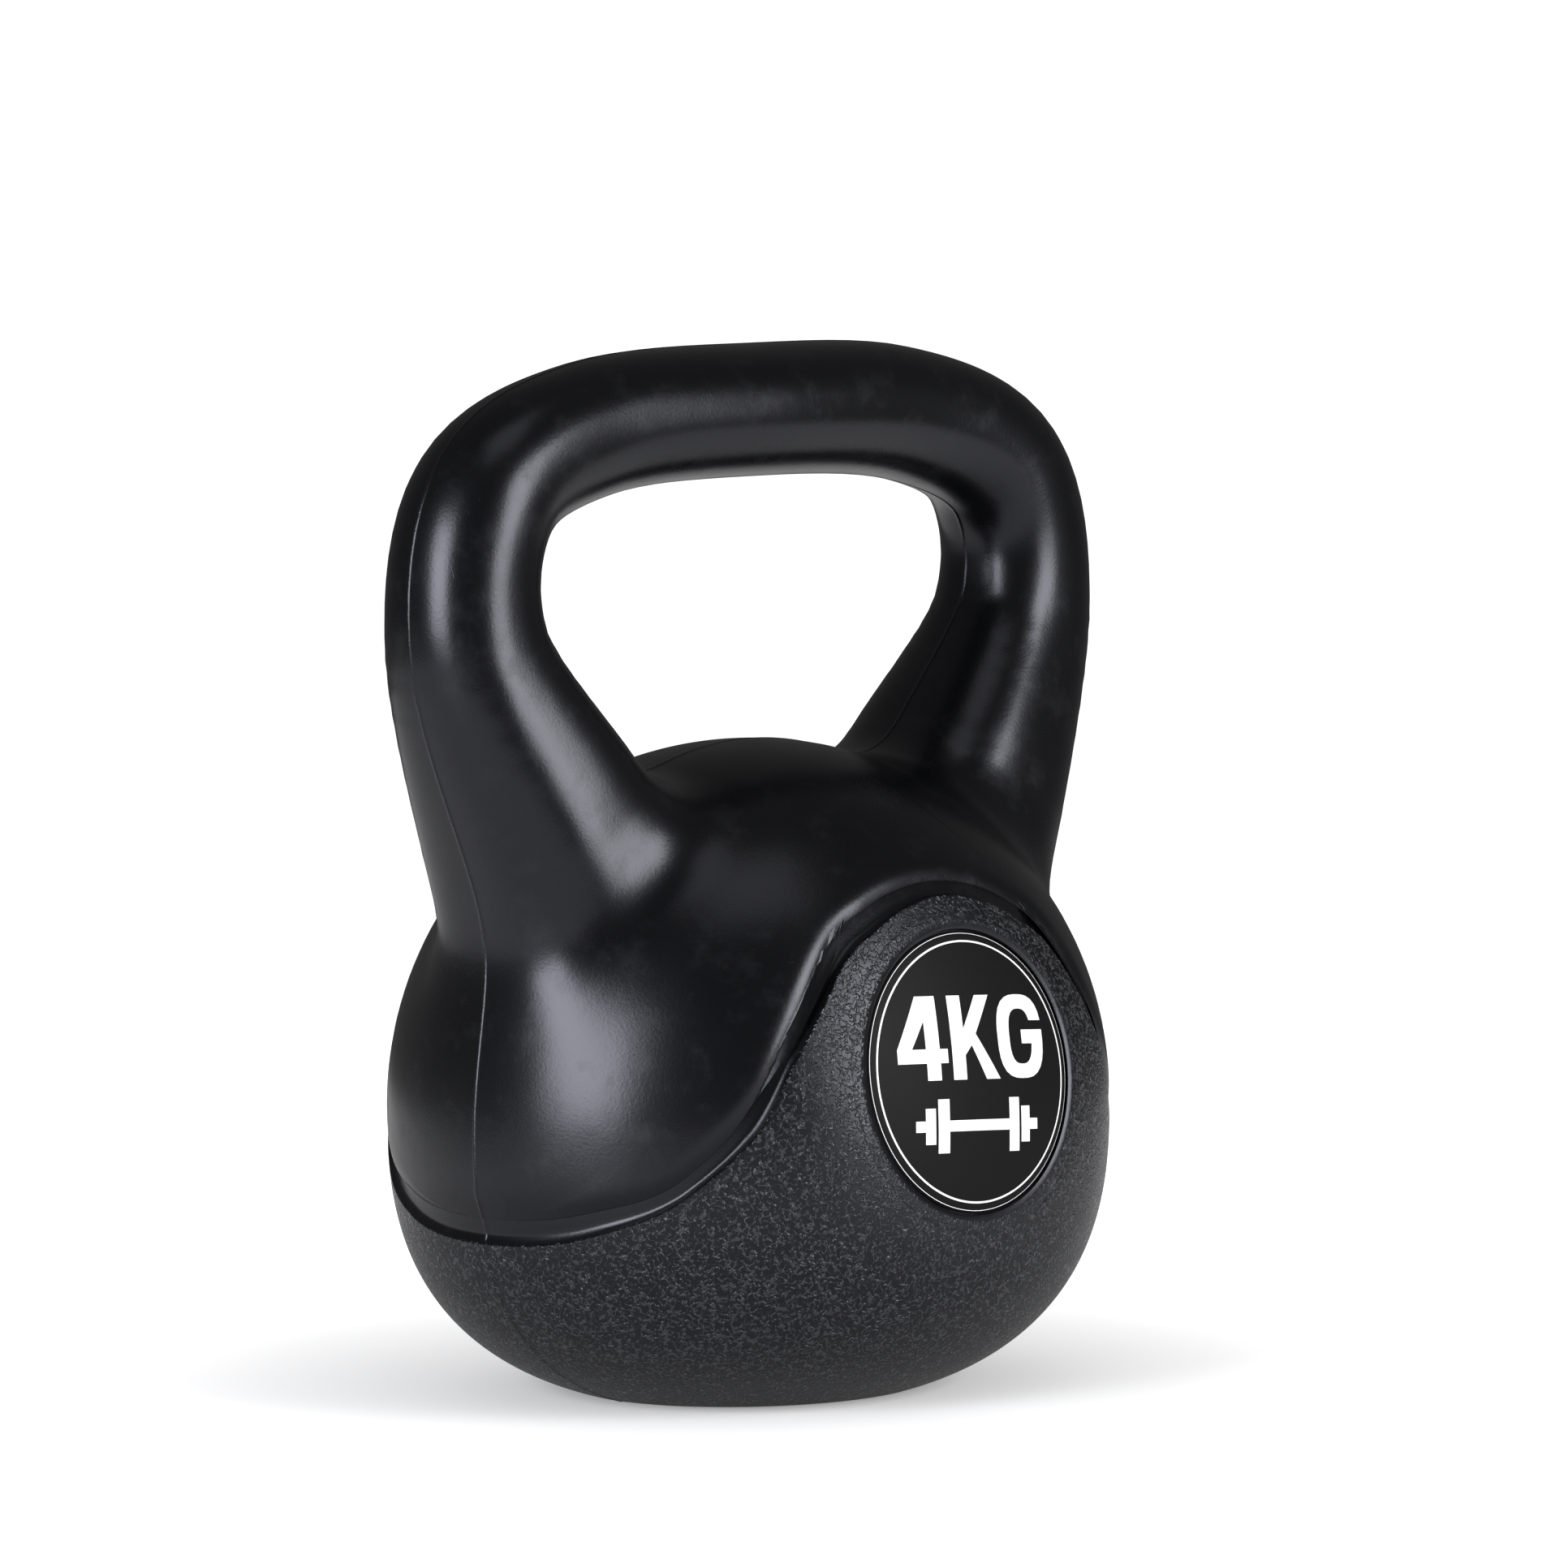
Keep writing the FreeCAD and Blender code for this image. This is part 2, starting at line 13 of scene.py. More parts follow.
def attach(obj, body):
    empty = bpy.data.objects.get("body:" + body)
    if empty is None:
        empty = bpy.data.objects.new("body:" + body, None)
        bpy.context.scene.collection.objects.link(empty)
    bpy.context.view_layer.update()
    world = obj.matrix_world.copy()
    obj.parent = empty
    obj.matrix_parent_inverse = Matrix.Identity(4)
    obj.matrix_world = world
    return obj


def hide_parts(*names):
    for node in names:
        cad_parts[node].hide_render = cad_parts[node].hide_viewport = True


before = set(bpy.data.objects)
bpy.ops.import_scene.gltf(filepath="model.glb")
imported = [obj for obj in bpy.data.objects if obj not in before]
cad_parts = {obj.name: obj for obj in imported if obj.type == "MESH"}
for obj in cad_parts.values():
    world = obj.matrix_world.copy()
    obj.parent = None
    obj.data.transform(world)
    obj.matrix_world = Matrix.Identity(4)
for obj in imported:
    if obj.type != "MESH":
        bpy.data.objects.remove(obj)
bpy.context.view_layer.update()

# ================================================================ sizes, the same as in the CAD part
MM = 0.001
GRIP_THICK, GRIP_DEEP = 27.1, 30.9
GRIP_LEVEL = 214.2 - GRIP_THICK / 2
SIDE_THICK = 31.2
SIDE_REACH = 188.2 / 2 - SIDE_THICK / 2
SIDE_LEVEL = GRIP_LEVEL - 45.4
SHOULDER_LEVEL = GRIP_LEVEL - 15.2
FOOT_LEVEL = 94.5
WAIST_LEVEL = FOOT_LEVEL + 0.382 * (SIDE_LEVEL - FOOT_LEVEL)
GRIP_POWER, LEG_POWER = 2.1, 2.9
BOWL_HALF_WIDE, BOWL_HALF_DEEP = 155.7 / 2, 141.0 / 2
BOWL_LEVEL, BOWL_RISE, BOWL_FALL = 58.6, 74.6, 62.2
CROWN_POWER, KEEL_POWER, PLAN_POWER = 2.02, 2.6, 2.0
LEG_BLEND = 13.7
PAD_REACH, PAD_LEVEL, PAD_DOME, PAD_BLEND = 66.2, 69.7, 140.0, 2.5
PAD_TILT = math.radians(8.5)
BADGE_RADIUS = 28.5
BADGE_CLEARANCE = 0.3
BADGE_FACE, BADGE_BACK = -0.8, -1.58
PLUG_RECESS_RADIUS, PLUG_RECESS_DEPTH = 20.15, 2.4
FILLER_RADIUS = 15.0

# ================================================================ the outside as a field
# Stations of the handle: reach, level, half thickness, half depth. Their squareness follows the level.
STATIONS = np.array([
    (0.0, GRIP_LEVEL, GRIP_THICK / 2, GRIP_DEEP / 2),
    (SIDE_REACH - 33.4, GRIP_LEVEL - 2.4, 27.8 / 2, 28.0 / 2),
    (SIDE_REACH - 4.8, SHOULDER_LEVEL, 29.3 / 2, 29.8 / 2),
    (SIDE_REACH, SIDE_LEVEL, SIDE_THICK / 2, 31.7 / 2),
    (58.5, WAIST_LEVEL, 42.9 / 2, 47.5 / 2),
    (47.1, FOOT_LEVEL, 45.5 / 2, 39.6 / 2),
    (32.7, 67.2, 58.5 / 2, 62.5 / 2),
])
STEPS_PER_SPAN = 8


def handle_line():
    """Half of the handle's centre line: a Catmull-Rom curve through the stations, mirrored at the grip."""
    down = np.clip((SHOULDER_LEVEL - STATIONS[:, 1]) / (SHOULDER_LEVEL - FOOT_LEVEL), 0.0, 1.0)
    stations = np.column_stack([STATIONS, GRIP_POWER + (LEG_POWER - GRIP_POWER) * down])
    row = np.vstack([stations[1] * [-1, 1, 1, 1, 1], stations, 2 * stations[-1] - stations[-2]])
    t = np.arange(STEPS_PER_SPAN)[:, None] / STEPS_PER_SPAN
    spans = []
    for a, b, c, d in zip(row[:-3], row[1:-2], row[2:-1], row[3:]):
        spans.append(0.5 * (2 * b + (c - a) * t + (2 * a - 5 * b + 4 * c - d) * t ** 2
                            + (3 * b - a - 3 * c + d) * t ** 3))
    return np.vstack(spans + [stations[-1:]])


HANDLE_LINE = handle_line()


def smooth_min(a, b, width):
    """The smaller value, with the corner rounded over a width: b + (a - b) h - width h (1 - h)."""
    h = np.clip(0.5 + 0.5 * (b - a) / width, 0.0, 1.0)
    return b * (1.0 - h) + a * h - width * h * (1.0 - h)


def handle_field(p):
    """A superellipse along the centre line: ((gap/thick)^n + (y/deep)^n)^(1/n) - 1, times its half size."""
    start, run = HANDLE_LINE[:-1], np.diff(HANDLE_LINE, axis=0)
    off_x = np.abs(p[..., 0])[..., None] - start[:, 0]
    off_z = p[..., 2][..., None] - start[:, 1]
    along = (off_x * run[:, 0] + off_z * run[:, 1]) / (run[:, 0] ** 2 + run[:, 1] ** 2)
    along = np.clip(along, 0.0, 1.0)
    gap = (off_x - along * run[:, 0]) ** 2 + (off_z - along * run[:, 1]) ** 2
    nearest = gap.argmin(axis=-1)
    pick = nearest[..., None]
    section = start[nearest] + np.take_along_axis(along, pick, -1) * run[nearest]
    thick, deep, power = section[..., 2], section[..., 3], section[..., 4]
    gap = np.sqrt(np.take_along_axis(gap, pick, -1)[..., 0])
    across = (gap / thick) ** power + (np.abs(p[..., 1]) / deep) ** power
    return (across ** (1.0 / power) - 1.0) * np.minimum(thick, deep)


PAD_OUT = np.array([0.0, -math.cos(PAD_TILT), math.sin(PAD_TILT)])
PAD_UP = np.array([0.0, math.sin(PAD_TILT), math.cos(PAD_TILT)])
PAD_MIDDLE = np.array([0.0, -PAD_REACH, PAD_LEVEL])
PAD_CENTRE = PAD_MIDDLE - PAD_DOME * PAD_OUT


def bowl_field(p):
    """A superellipsoid, fuller below than above, cut by the gently domed pads front and rear.

    The bowl is ((plan^n + (height/reach)^n)^(1/n) - 1) times its half depth; plan is a superellipse.
    A pad is the distance from a sphere. The larger of the two values holds, with the corner rounded.
    """
    above = p[..., 2] - BOWL_LEVEL
    reach = np.where(above > 0, BOWL_RISE, BOWL_FALL)
    power = np.where(above > 0, CROWN_POWER, KEEL_POWER)
    plan = ((np.abs(p[..., 0]) / BOWL_HALF_WIDE) ** PLAN_POWER
            + (np.abs(p[..., 1]) / BOWL_HALF_DEEP) ** PLAN_POWER) ** (1.0 / PLAN_POWER)
    bowl = ((plan ** power + (np.abs(above) / reach) ** power) ** (1.0 / power) - 1.0) * BOWL_HALF_DEEP
    folded = np.stack([p[..., 0], -np.abs(p[..., 1]), p[..., 2]], axis=-1)
    pad = np.linalg.norm(folded - PAD_CENTRE, axis=-1) - PAD_DOME
    return -smooth_min(-bowl, -pad, PAD_BLEND)


def body_field(p):
    """Negative inside the bell, about 1 more for each millimetre outwards."""
    return smooth_min(bowl_field(p), handle_field(p), LEG_BLEND)


WALK_STEPS, WALK_SHARE = 60, 0.8
SLOPE_STEP = 0.02


def reach_surface(start, direction):
    """Where rays from inside leave the body: each walks on by a share of what the field still promises."""
    travelled = np.zeros(direction.shape[:-1])
    for _ in range(WALK_STEPS):
        travelled -= WALK_SHARE * body_field(start + travelled[..., None] * direction)
    return start + travelled[..., None] * direction


def straight_out(p):
    """Unit gradient of the field by central differences."""
    steps = np.eye(3) * SLOPE_STEP
    slope = np.stack([body_field(p + s) - body_field(p - s) for s in steps], axis=-1)
    return slope / np.linalg.norm(slope, axis=-1, keepdims=True)


def smooth_step(x):
    """0 below 0, 1 above 1, and 3x^2 - 2x^3 between."""
    x = np.clip(x, 0.0, 1.0)
    return x * x * (3.0 - 2.0 * x)


# ================================================================ mesh helpers
SHARP_FROM = math.radians(20.0)


def quads_of(rows, columns, ring=False):
    """Corner numbers of the quads of a grid; with ring, the last column joins the first."""
    i = np.arange(rows - 1)[:, None]
    j = np.arange(columns if ring else columns - 1)[None, :]
    k = (j + 1) % columns
    corners = [i * columns + j, i * columns + k, (i + 1) * columns + k, (i + 1) * columns + j]
    return np.stack([np.broadcast_to(c, (rows - 1, j.shape[1])) for c in corners], axis=-1).reshape(-1, 4)


def weld(points, quads):
    """Coinciding points made one. Returns the kept points' numbers, the whole quads and the triangles."""
    rounded = np.round(points, 3) + 0.0
    _, kept, renumber = np.unique(rounded, axis=0, return_index=True, return_inverse=True)
    quads = renumber.reshape(-1)[quads]
    doubled = quads == np.roll(quads, -1, axis=1)
    times = doubled.sum(axis=1)
    triangles = quads[times == 1][~doubled[times == 1]].reshape(-1, 3)
    return kept, quads[times == 0], triangles


def make_piece(name, points, quads, material, stands_for=None, marks=None):
    """A smooth mesh object in metres that rides on the bell. marks are numbers kept on its points."""
    kept, whole, triangles = weld(points, quads)
    mesh = bpy.data.meshes.new(name)
    mesh.from_pydata((points[kept] * MM).tolist(), [], whole.tolist() + triangles.tolist())
    for mark, values in (marks or {}).items():
        layer = mesh.attributes.new(mark, "FLOAT", "POINT")
        layer.data.foreach_set("value", values[kept].astype(np.float32))
    mesh.shade_smooth()
    mesh.set_sharp_from_angle(angle=SHARP_FROM)
    mesh.materials.append(material)
    thing = bpy.data.objects.new(name, mesh)
    bpy.context.scene.collection.objects.link(thing)
    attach(thing, "root")
    if stands_for:
        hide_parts(stands_for)


def turned_round(points):
    """The same points turned half a turn about Z, which takes the front to the rear."""
    return points * [-1.0, -1.0, 1.0]


# ================================================================ node helpers
class Nodes:
    """Short ways to add and join nodes in one tree."""

    def __init__(self, tree):
        self.tree = tree

    def add(self, kind, inputs=None, **properties):
        node = self.tree.nodes.new(kind)
        for key, value in properties.items():
            setattr(node, key, value)
        for key, value in (inputs or {}).items():
            if isinstance(value, bpy.types.NodeSocket):
                self.tree.links.new(value, node.inputs[key])
            else:
                node.inputs[key].default_value = value
        return node

    def math(self, operation, a, b=0.0, c=0.0):
        return self.add("ShaderNodeMath", {0: a, 1: b, 2: c}, operation=operation).outputs[0]

    def scaled(self, vector, by):
        """A vector times three numbers."""
        return self.add("ShaderNodeVectorMath", {0: vector, 1: by}, operation="MULTIPLY").outputs[0]

    def noise(self, vector, scale, detail=2.0, roughness=0.5, distortion=0.0):
        settings = {"Scale": scale, "Detail": detail, "Roughness": roughness, "Distortion": distortion}
        return self.add("ShaderNodeTexNoise", {"Vector": vector, **settings}).outputs["Fac"]

    def remap(self, value, low, high, to_low=0.0, to_high=1.0):
        """A value taken smoothly from one range to another, and kept inside it."""
        return self.add("ShaderNodeMapRange", {
            "Value": value, "From Min": low, "From Max": high, "To Min": to_low, "To Max": to_high,
        }, interpolation_type="SMOOTHSTEP").outputs["Result"]

    def mix(self, share, a, b):
        """A number between a and b."""
        node = self.add("ShaderNodeMix", {"Factor": share, "A": a, "B": b}, data_type="FLOAT")
        return node.outputs["Result"]

    def blend(self, share, a, b):
        """A colour between two colours."""
        node = self.tree.nodes.new("ShaderNodeMix")
        node.data_type = "RGBA"
        factor, first, second = node.inputs[0], node.inputs[6], node.inputs[7]
        self.tree.links.new(share, factor)
        first.default_value, second.default_value = a, b
        return node.outputs[2]


def new_group(name, inputs, outputs):
    """An empty shader group with float inputs (and a vector called Place) and float outputs."""
    tree = bpy.data.node_groups.new(name, "ShaderNodeTree")
    tree.interface.new_socket("Place", in_out="INPUT", socket_type="NodeSocketVector")
    for label, value in inputs.items():
        tree.interface.new_socket(label, in_out="INPUT", socket_type="NodeSocketFloat").default_value = value
    for label in outputs:
        tree.interface.new_socket(label, in_out="OUTPUT", socket_type="NodeSocketFloat")
    source = tree.nodes.new("NodeGroupInput")
    return Nodes(tree), source.outputs, tree.nodes.new("NodeGroupOutput").inputs, tree


def moulded_peel_group():
    """Fine orange peel of moulded plastic: two noises, and slow waves. Heights in mm, shade 0 to 1."""
    inputs = {"Grain per mm": 1.6, "Depth": 0.012}
    n, source, out, tree = new_group("moulded_peel", inputs, ["Height", "Shade"])
    place = source["Place"]
    coarse = n.noise(place, source["Grain per mm"], 1.0, 0.5)
    fine = n.noise(place, n.math("MULTIPLY", source["Grain per mm"], 2.7), 1.0, 0.5)
    slow = n.noise(place, 0.045, 2.0, 0.5)
    peel = n.math("MULTIPLY", n.math("ADD", coarse, n.math("MULTIPLY", fine, 0.5)), source["Depth"])
    height = n.math("ADD", peel, n.math("MULTIPLY", slow, 0.16))
    tree.links.new(height, out["Height"])
    tree.links.new(slow, out["Shade"])
    return tree


def wear_group():
    """Handling marks: thin stretched scratches and cloudy scuffs, each 0 to 1."""
    n, source, out, tree = new_group("handling_wear", {}, ["Scratches", "Scuffs"])
    place = source["Place"]
    one = n.noise(n.scaled(place, (0.03, 0.5, 1.9)), 1.0, 2.0, 0.6, 0.3)
    other = n.noise(n.scaled(place, (1.7, 0.4, 0.04)), 1.0, 2.0, 0.6, 0.4)
    lines = n.math("MAXIMUM", n.remap(one, 0.70, 0.76), n.remap(other, 0.71, 0.77))
    patches = n.remap(n.noise(place, 0.035, 3.0, 0.6), 0.45, 0.65)
    tree.links.new(n.math("MULTIPLY", lines, patches), out["Scratches"])
    tree.links.new(n.remap(n.noise(place, 0.12, 4.0, 0.65), 0.5, 0.75), out["Scuffs"])
    return tree


def leather_grain_group():
    """Worm-like grain: raised ridges where a noise crosses its middle, broken up by a second noise."""
    n, source, out, tree = new_group("leather_grain", {"Grain per mm": 0.6}, ["Height", "Ridge"])
    place = source["Place"]
    winding = n.noise(place, source["Grain per mm"], 0.6, 0.5, 0.5)
    ridge = n.remap(n.math("ABSOLUTE", n.math("SUBTRACT", winding, 0.5)), 0.01, 0.115, 1.0, 0.0)
    gaps = n.remap(n.noise(place, n.math("MULTIPLY", source["Grain per mm"], 1.35), 0.0), 0.36, 0.5)
    ridge = n.math("MULTIPLY", ridge, n.math("ADD", n.math("MULTIPLY", gaps, 0.85), 0.15))
    pips = n.noise(place, n.math("MULTIPLY", source["Grain per mm"], 5.0), 1.0, 0.5)
    height = n.math("ADD", n.math("MULTIPLY", ridge, 0.20), n.math("MULTIPLY", pips, 0.03))
    tree.links.new(height, out["Height"])
    tree.links.new(ridge, out["Ridge"])
    return tree


PEEL, WEAR, LEATHER = moulded_peel_group(), wear_group(), leather_grain_group()


def start_material(name):
    """A material with its surface shader, and the place on the object in millimetres."""
    material = bpy.data.materials.new(name)
    material.use_nodes = True
    n = Nodes(material.node_tree)
    surface = material.node_tree.nodes["Principled BSDF"]
    place = n.scaled(n.add("ShaderNodeTexCoord").outputs["Object"], (1000.0, 1000.0, 1000.0))
    return material, n, surface, place


def use_group(n, tree, place, **values):
    """A shared effect placed in a material. Underscores in the names stand for spaces."""
    node = n.add("ShaderNodeGroup", node_tree=tree)
    n.tree.links.new(place, node.inputs["Place"])
    for label, value in values.items():
        node.inputs[label.replace("_", " ")].default_value = value
    return node.outputs


def finish_material(n, surface, colour, roughness, height):
    """Joins colour, roughness and a height in mm to the surface shader."""
    n.tree.links.new(colour, surface.inputs["Base Color"])
    n.tree.links.new(roughness, surface.inputs["Roughness"])
    bump = n.add("ShaderNodeBump", {"Strength": 1.0, "Distance": MM, "Height": height})
    n.tree.links.new(bump.outputs["Normal"], surface.inputs["Normal"])


def black_skin():
    """Near-black satin polyethylene: peel and scuffs above the border, leather grain where grain is 1, with
    its ridges painted lighter as painted glints.

    The parting line is a ridge, raised further on the smooth skin and lowered in the grain.
    """
    material, n, surface, place = start_material("black_polyethylene")
    surface.inputs["Specular Tint"].default_value = (0.88, 0.89, 1.0, 1.0)
    grained = n.add("ShaderNodeAttribute", attribute_name="grain").outputs["Fac"]
    peel = use_group(n, PEEL, place, Grain_per_mm=1.5, Depth=0.016)
    wear = use_group(n, WEAR, place)
    leather = use_group(n, LEATHER, place, Grain_per_mm=0.82)
    across = n.math("ABSOLUTE", n.add("ShaderNodeSeparateXYZ", {0: place}).outputs["Y"])
    seam = n.remap(across, 0.12, 0.42, 1.0, 0.0)
    trimmed = n.noise(place, 0.9, 3.0, 0.7)
    seam_height = n.math("MULTIPLY", n.math("MULTIPLY", seam, n.mix(grained, 0.10, -0.16)), trimmed)
    smooth_height = n.math("SUBTRACT", peel["Height"], n.math("MULTIPLY", wear["Scratches"], 0.012))
    height = n.math("ADD", n.mix(grained, smooth_height, leather["Height"]), seam_height)
    worn = n.math("MULTIPLY", wear["Scratches"], 0.2)
    worn = n.math("ADD", worn, n.math("MULTIPLY", wear["Scuffs"], 0.08))
    # On the smooth skin the colour's share is real wear; in the grain it is the ridge mask, so each ridge is
    # painted lighter: a painted glint.
    light = n.mix(grained, worn, leather["Ridge"])
    colour = n.blend(light, (0.0010, 0.0011, 0.0016, 1.0), (0.024, 0.0245, 0.027, 1.0))
    rough_smooth = n.mix(peel["Shade"], 0.24, 0.31)
    rough_smooth = n.math("ADD", rough_smooth, n.math("MULTIPLY", wear["Scuffs"], 0.07))
    rough_grain = n.mix(leather["Ridge"], 0.34, 0.19)
    finish_material(n, surface, colour, n.mix(grained, rough_smooth, rough_grain), height)
    return material


def badge_film():
    """Satin black film: almost smooth, with cloudy wipe marks and faint dust."""
    material, n, surface, place = start_material("satin_black_film")
    surface.inputs["Specular IOR Level"].default_value = 0.09
    cloud = n.noise(place, 0.09, 4.0, 0.6)
    dust = n.remap(n.noise(place, 3.2, 2.0, 0.6), 0.66, 0.74)
    light = n.math("MULTIPLY", dust, 0.5)
    colour = n.blend(light, (0.0055, 0.0055, 0.0062, 1.0), (0.022, 0.022, 0.024, 1.0))
    roughness = n.math("ADD", n.mix(cloud, 0.42, 0.52), n.math("MULTIPLY", dust, 0.1))
    finish_material(n, surface, colour, roughness, n.math("MULTIPLY", cloud, 0.02))
    return material


def white_ink():
    """Printed white ink, slightly uneven."""
    material, n, surface, place = start_material("white_ink")
    cover = n.noise(place, 1.1, 3.0, 0.6)
    colour = n.blend(cover, (0.80, 0.80, 0.80, 1.0), (0.90, 0.90, 0.90, 1.0))
    finish_material(n, surface, colour, n.mix(cover, 0.28, 0.40), n.math("MULTIPLY", cover, 0.004))
    return material


def black_plug():
    """The plug's plastic: finer peel, more scuffed than the skin."""
    material, n, surface, place = start_material("black_plug_plastic")
    peel = use_group(n, PEEL, place, Grain_per_mm=2.2, Depth=0.010)
    wear = use_group(n, WEAR, place)
    light = n.math("ADD", n.math("MULTIPLY", wear["Scuffs"], 0.6), wear["Scratches"])
    colour = n.blend(light, (0.014, 0.014, 0.016, 1.0), (0.045, 0.045, 0.047, 1.0))
    roughness = n.mix(wear["Scuffs"], 0.42, 0.56)
    finish_material(n, surface, colour, roughness, peel["Height"])
    return material


def set_mortar():
    """Set cement mortar: sand grains, small pores and damp patches."""
    material, n, surface, place = start_material("set_mortar")
    sand = n.noise(place, 1.3, 5.0, 0.7)
    pores = n.remap(n.noise(place, 0.35, 2.0, 0.5), 0.62, 0.68)
    damp = n.noise(place, 0.03, 3.0, 0.6)
    colour = n.blend(n.math("MULTIPLY", sand, damp), (0.20, 0.19, 0.18, 1.0), (0.58, 0.56, 0.53, 1.0))
    height = n.math("SUBTRACT", n.math("MULTIPLY", sand, 0.25), n.math("MULTIPLY", pores, 0.8))
    finish_material(n, surface, colour, n.mix(pores, 0.85, 0.95), height)
    return material


SKIN, FILM, INK = black_skin(), badge_film(), white_ink()

# ================================================================ the border between peel and grain
# From above, going down over the border: the smooth skin rounds over to the lip, a small sharp step
# drops to a flat band, and a wall rises from it to the grain. Azimuths go from the front to the side, and
# each has the lip's level and the width from the lip to the grain.
BORDER_AZIMUTHS = np.radians([0.0, 10.0, 20.0, 30.0, 37.5, 45.0, 55.0, 70.0, 90.0])
LIP_LEVELS = np.array([107.8, 106.8, 103.6, 96.6, 82.3, 64.6, 51.2, 43.8, 41.0])
BAND_WIDTHS = np.array([4.2, 4.6, 5.6, 6.3, 4.9, 3.8, 3.6, 4.9, 5.2])
LIP_ROUND, LIP_DROP = 5.0, 1.1
BAND_DEPTH = 1.45
BORDER_STEPS = 124
HANDLE_STEPS = 100
GATHER_ROWS, LIP_CROWDING = 25, 1.3
FINE_START = [0.0, 0.25, 0.55, 1.0]
EVEN_FROM, EVEN_SAMPLES = 2.0, 400
LIP_SAMPLES, LIP_BATCHES = 900, 45
CLOSE_SHARES = np.array([0.0, 0.004, 0.009, 0.017])
COLUMN_SHARES = np.concatenate([CLOSE_SHARES, np.linspace(0.03, 0.97, 48), 1.0 - CLOSE_SHARES[::-1]])
SEAM_HEIGHT, SEAM_WIDTH = 0.14, 0.32
WINDOW_LEVEL = (GRIP_LEVEL - GRIP_THICK / 2 + BOWL_LEVEL + BOWL_RISE) / 2


def along_border(azimuth, values):
    """A smooth curve through values at the border's azimuths: cubics with slopes from the neighbours."""
    slopes = np.gradient(values, BORDER_AZIMUTHS)
    slopes[0] = slopes[-1] = 0.0
    piece = np.clip(np.searchsorted(BORDER_AZIMUTHS, azimuth, side="right") - 1, 0, len(values) - 2)
    span = np.diff(BORDER_AZIMUTHS)[piece]
    t = (azimuth - BORDER_AZIMUTHS[piece]) / span
    return (values[piece] * (2 * t ** 3 - 3 * t ** 2 + 1) + slopes[piece] * span * (t ** 3 - 2 * t ** 2 + t)
            + values[piece + 1] * (3 * t ** 2 - 2 * t ** 3) + slopes[piece + 1] * span * (t ** 3 - t ** 2))


def lip_points(azimuth):
    """The lip line: where level rays from the upright axis, at each azimuth's height, leave the body."""
    level = along_border(azimuth, LIP_LEVELS)
    axis = np.stack([0 * level, 0 * level, level], axis=-1)
    return reach_surface(axis, np.stack([np.sin(azimuth), -np.cos(azimuth), 0 * level], axis=-1))


def even_lip():
    """Azimuths of the lip's points, from side to front, evenly spaced along it and finer at the side."""
    azimuth = np.linspace(math.pi / 2, 0.0, EVEN_SAMPLES)
    run = np.linalg.norm(np.diff(lip_points(azimuth), axis=0), axis=1)
    length = np.concatenate([[0.0], np.cumsum(run)])
    rest = np.linspace(EVEN_FROM, length[-1], BORDER_STEPS + 1 - len(FINE_START))
    stops = np.concatenate([FINE_START, rest])
    azimuth = np.interp(stops, length, azimuth)
    azimuth[-1] = 0.0
    return azimuth


def seam_relief(points):
    """The mould's parting ridge: height times exp(-(y / width)^2)."""
    return SEAM_HEIGHT * np.exp(-(points[..., 1] / SEAM_WIDTH) ** 2)


LIP_AZIMUTH = even_lip()
LIP = lip_points(LIP_AZIMUTH)


def lip_relief(points):
    """The skin's round-over to the lip: -drop (1 - gap / round)^3, gap being the distance to the lip line.

    The lip line's samples are taken a batch at a time, to keep the arrays small.
    """
    gap = np.full(points.shape[:-1], np.inf)
    samples = lip_points(np.linspace(0.0, math.pi / 2, LIP_SAMPLES))
    for batch in np.array_split(samples, LIP_BATCHES):
        gap = np.minimum(gap, np.linalg.norm(points[..., None, :] - batch, axis=-1).min(axis=-1))
    return -LIP_DROP * np.clip(1.0 - gap / LIP_ROUND, 0.0, 1.0) ** 3


def upper_grid():
    """Handle and crown: rows fan round the window from the grip, columns go round each section by ray angle.

    Down to the side of the border a row is a whole half section. Beyond, a row starts at a point of the lip
    line and ends at the window, at turns spread evenly to the middle of the crown.
    """
    lip_turn = np.arctan2(LIP[:, 0], LIP[:, 2] - WINDOW_LEVEL)
    above = np.linspace(0.0, lip_turn[0], HANDLE_STEPS, endpoint=False)
    first_turn = np.concatenate([above, lip_turn])[:, None]
    last_turn = np.concatenate([above, np.linspace(lip_turn[0], math.pi, len(LIP))])[:, None]
    gather = smooth_step((np.arange(len(first_turn)) - HANDLE_STEPS + GATHER_ROWS) / GATHER_ROWS)[:, None]
    share = (1.0 - gather) * COLUMN_SHARES + gather * COLUMN_SHARES ** LIP_CROWDING
    turn = first_turn + (last_turn - first_turn) * smooth_step(share)
    line_turn = np.arctan2(HANDLE_LINE[:, 0], HANDLE_LINE[:, 1] - WINDOW_LEVEL)
    line_radius = np.hypot(HANDLE_LINE[:, 0], HANDLE_LINE[:, 1] - WINDOW_LEVEL)
    radius = np.interp(turn, np.append(line_turn, math.pi), np.append(line_radius, WINDOW_LEVEL - BOWL_LEVEL))
    away = np.stack([np.sin(turn), 0 * turn, np.cos(turn)], axis=-1)
    start = radius[..., None] * away + [0.0, 0.0, WINDOW_LEVEL]
    from_start = LIP - start[HANDLE_STEPS:, 0]
    first_lean = np.zeros((len(turn), 1))
    outward = (from_start * away[HANDLE_STEPS:, 0]).sum(axis=1)
    first_lean[HANDLE_STEPS:, 0] = np.arctan2(-from_start[:, 1], outward)
    lean = first_lean + (math.pi - first_lean) * share
    direction = np.cos(lean)[..., None] * away + np.sin(lean)[..., None] * [0.0, -1.0, 0.0]
    points = reach_surface(start, direction)
    points[HANDLE_STEPS:, 0] = LIP
    relief = lip_relief(points)
    relief[HANDLE_STEPS:, 0] = -LIP_DROP
    return points + (relief + seam_relief(points))[..., None] * straight_out(points)


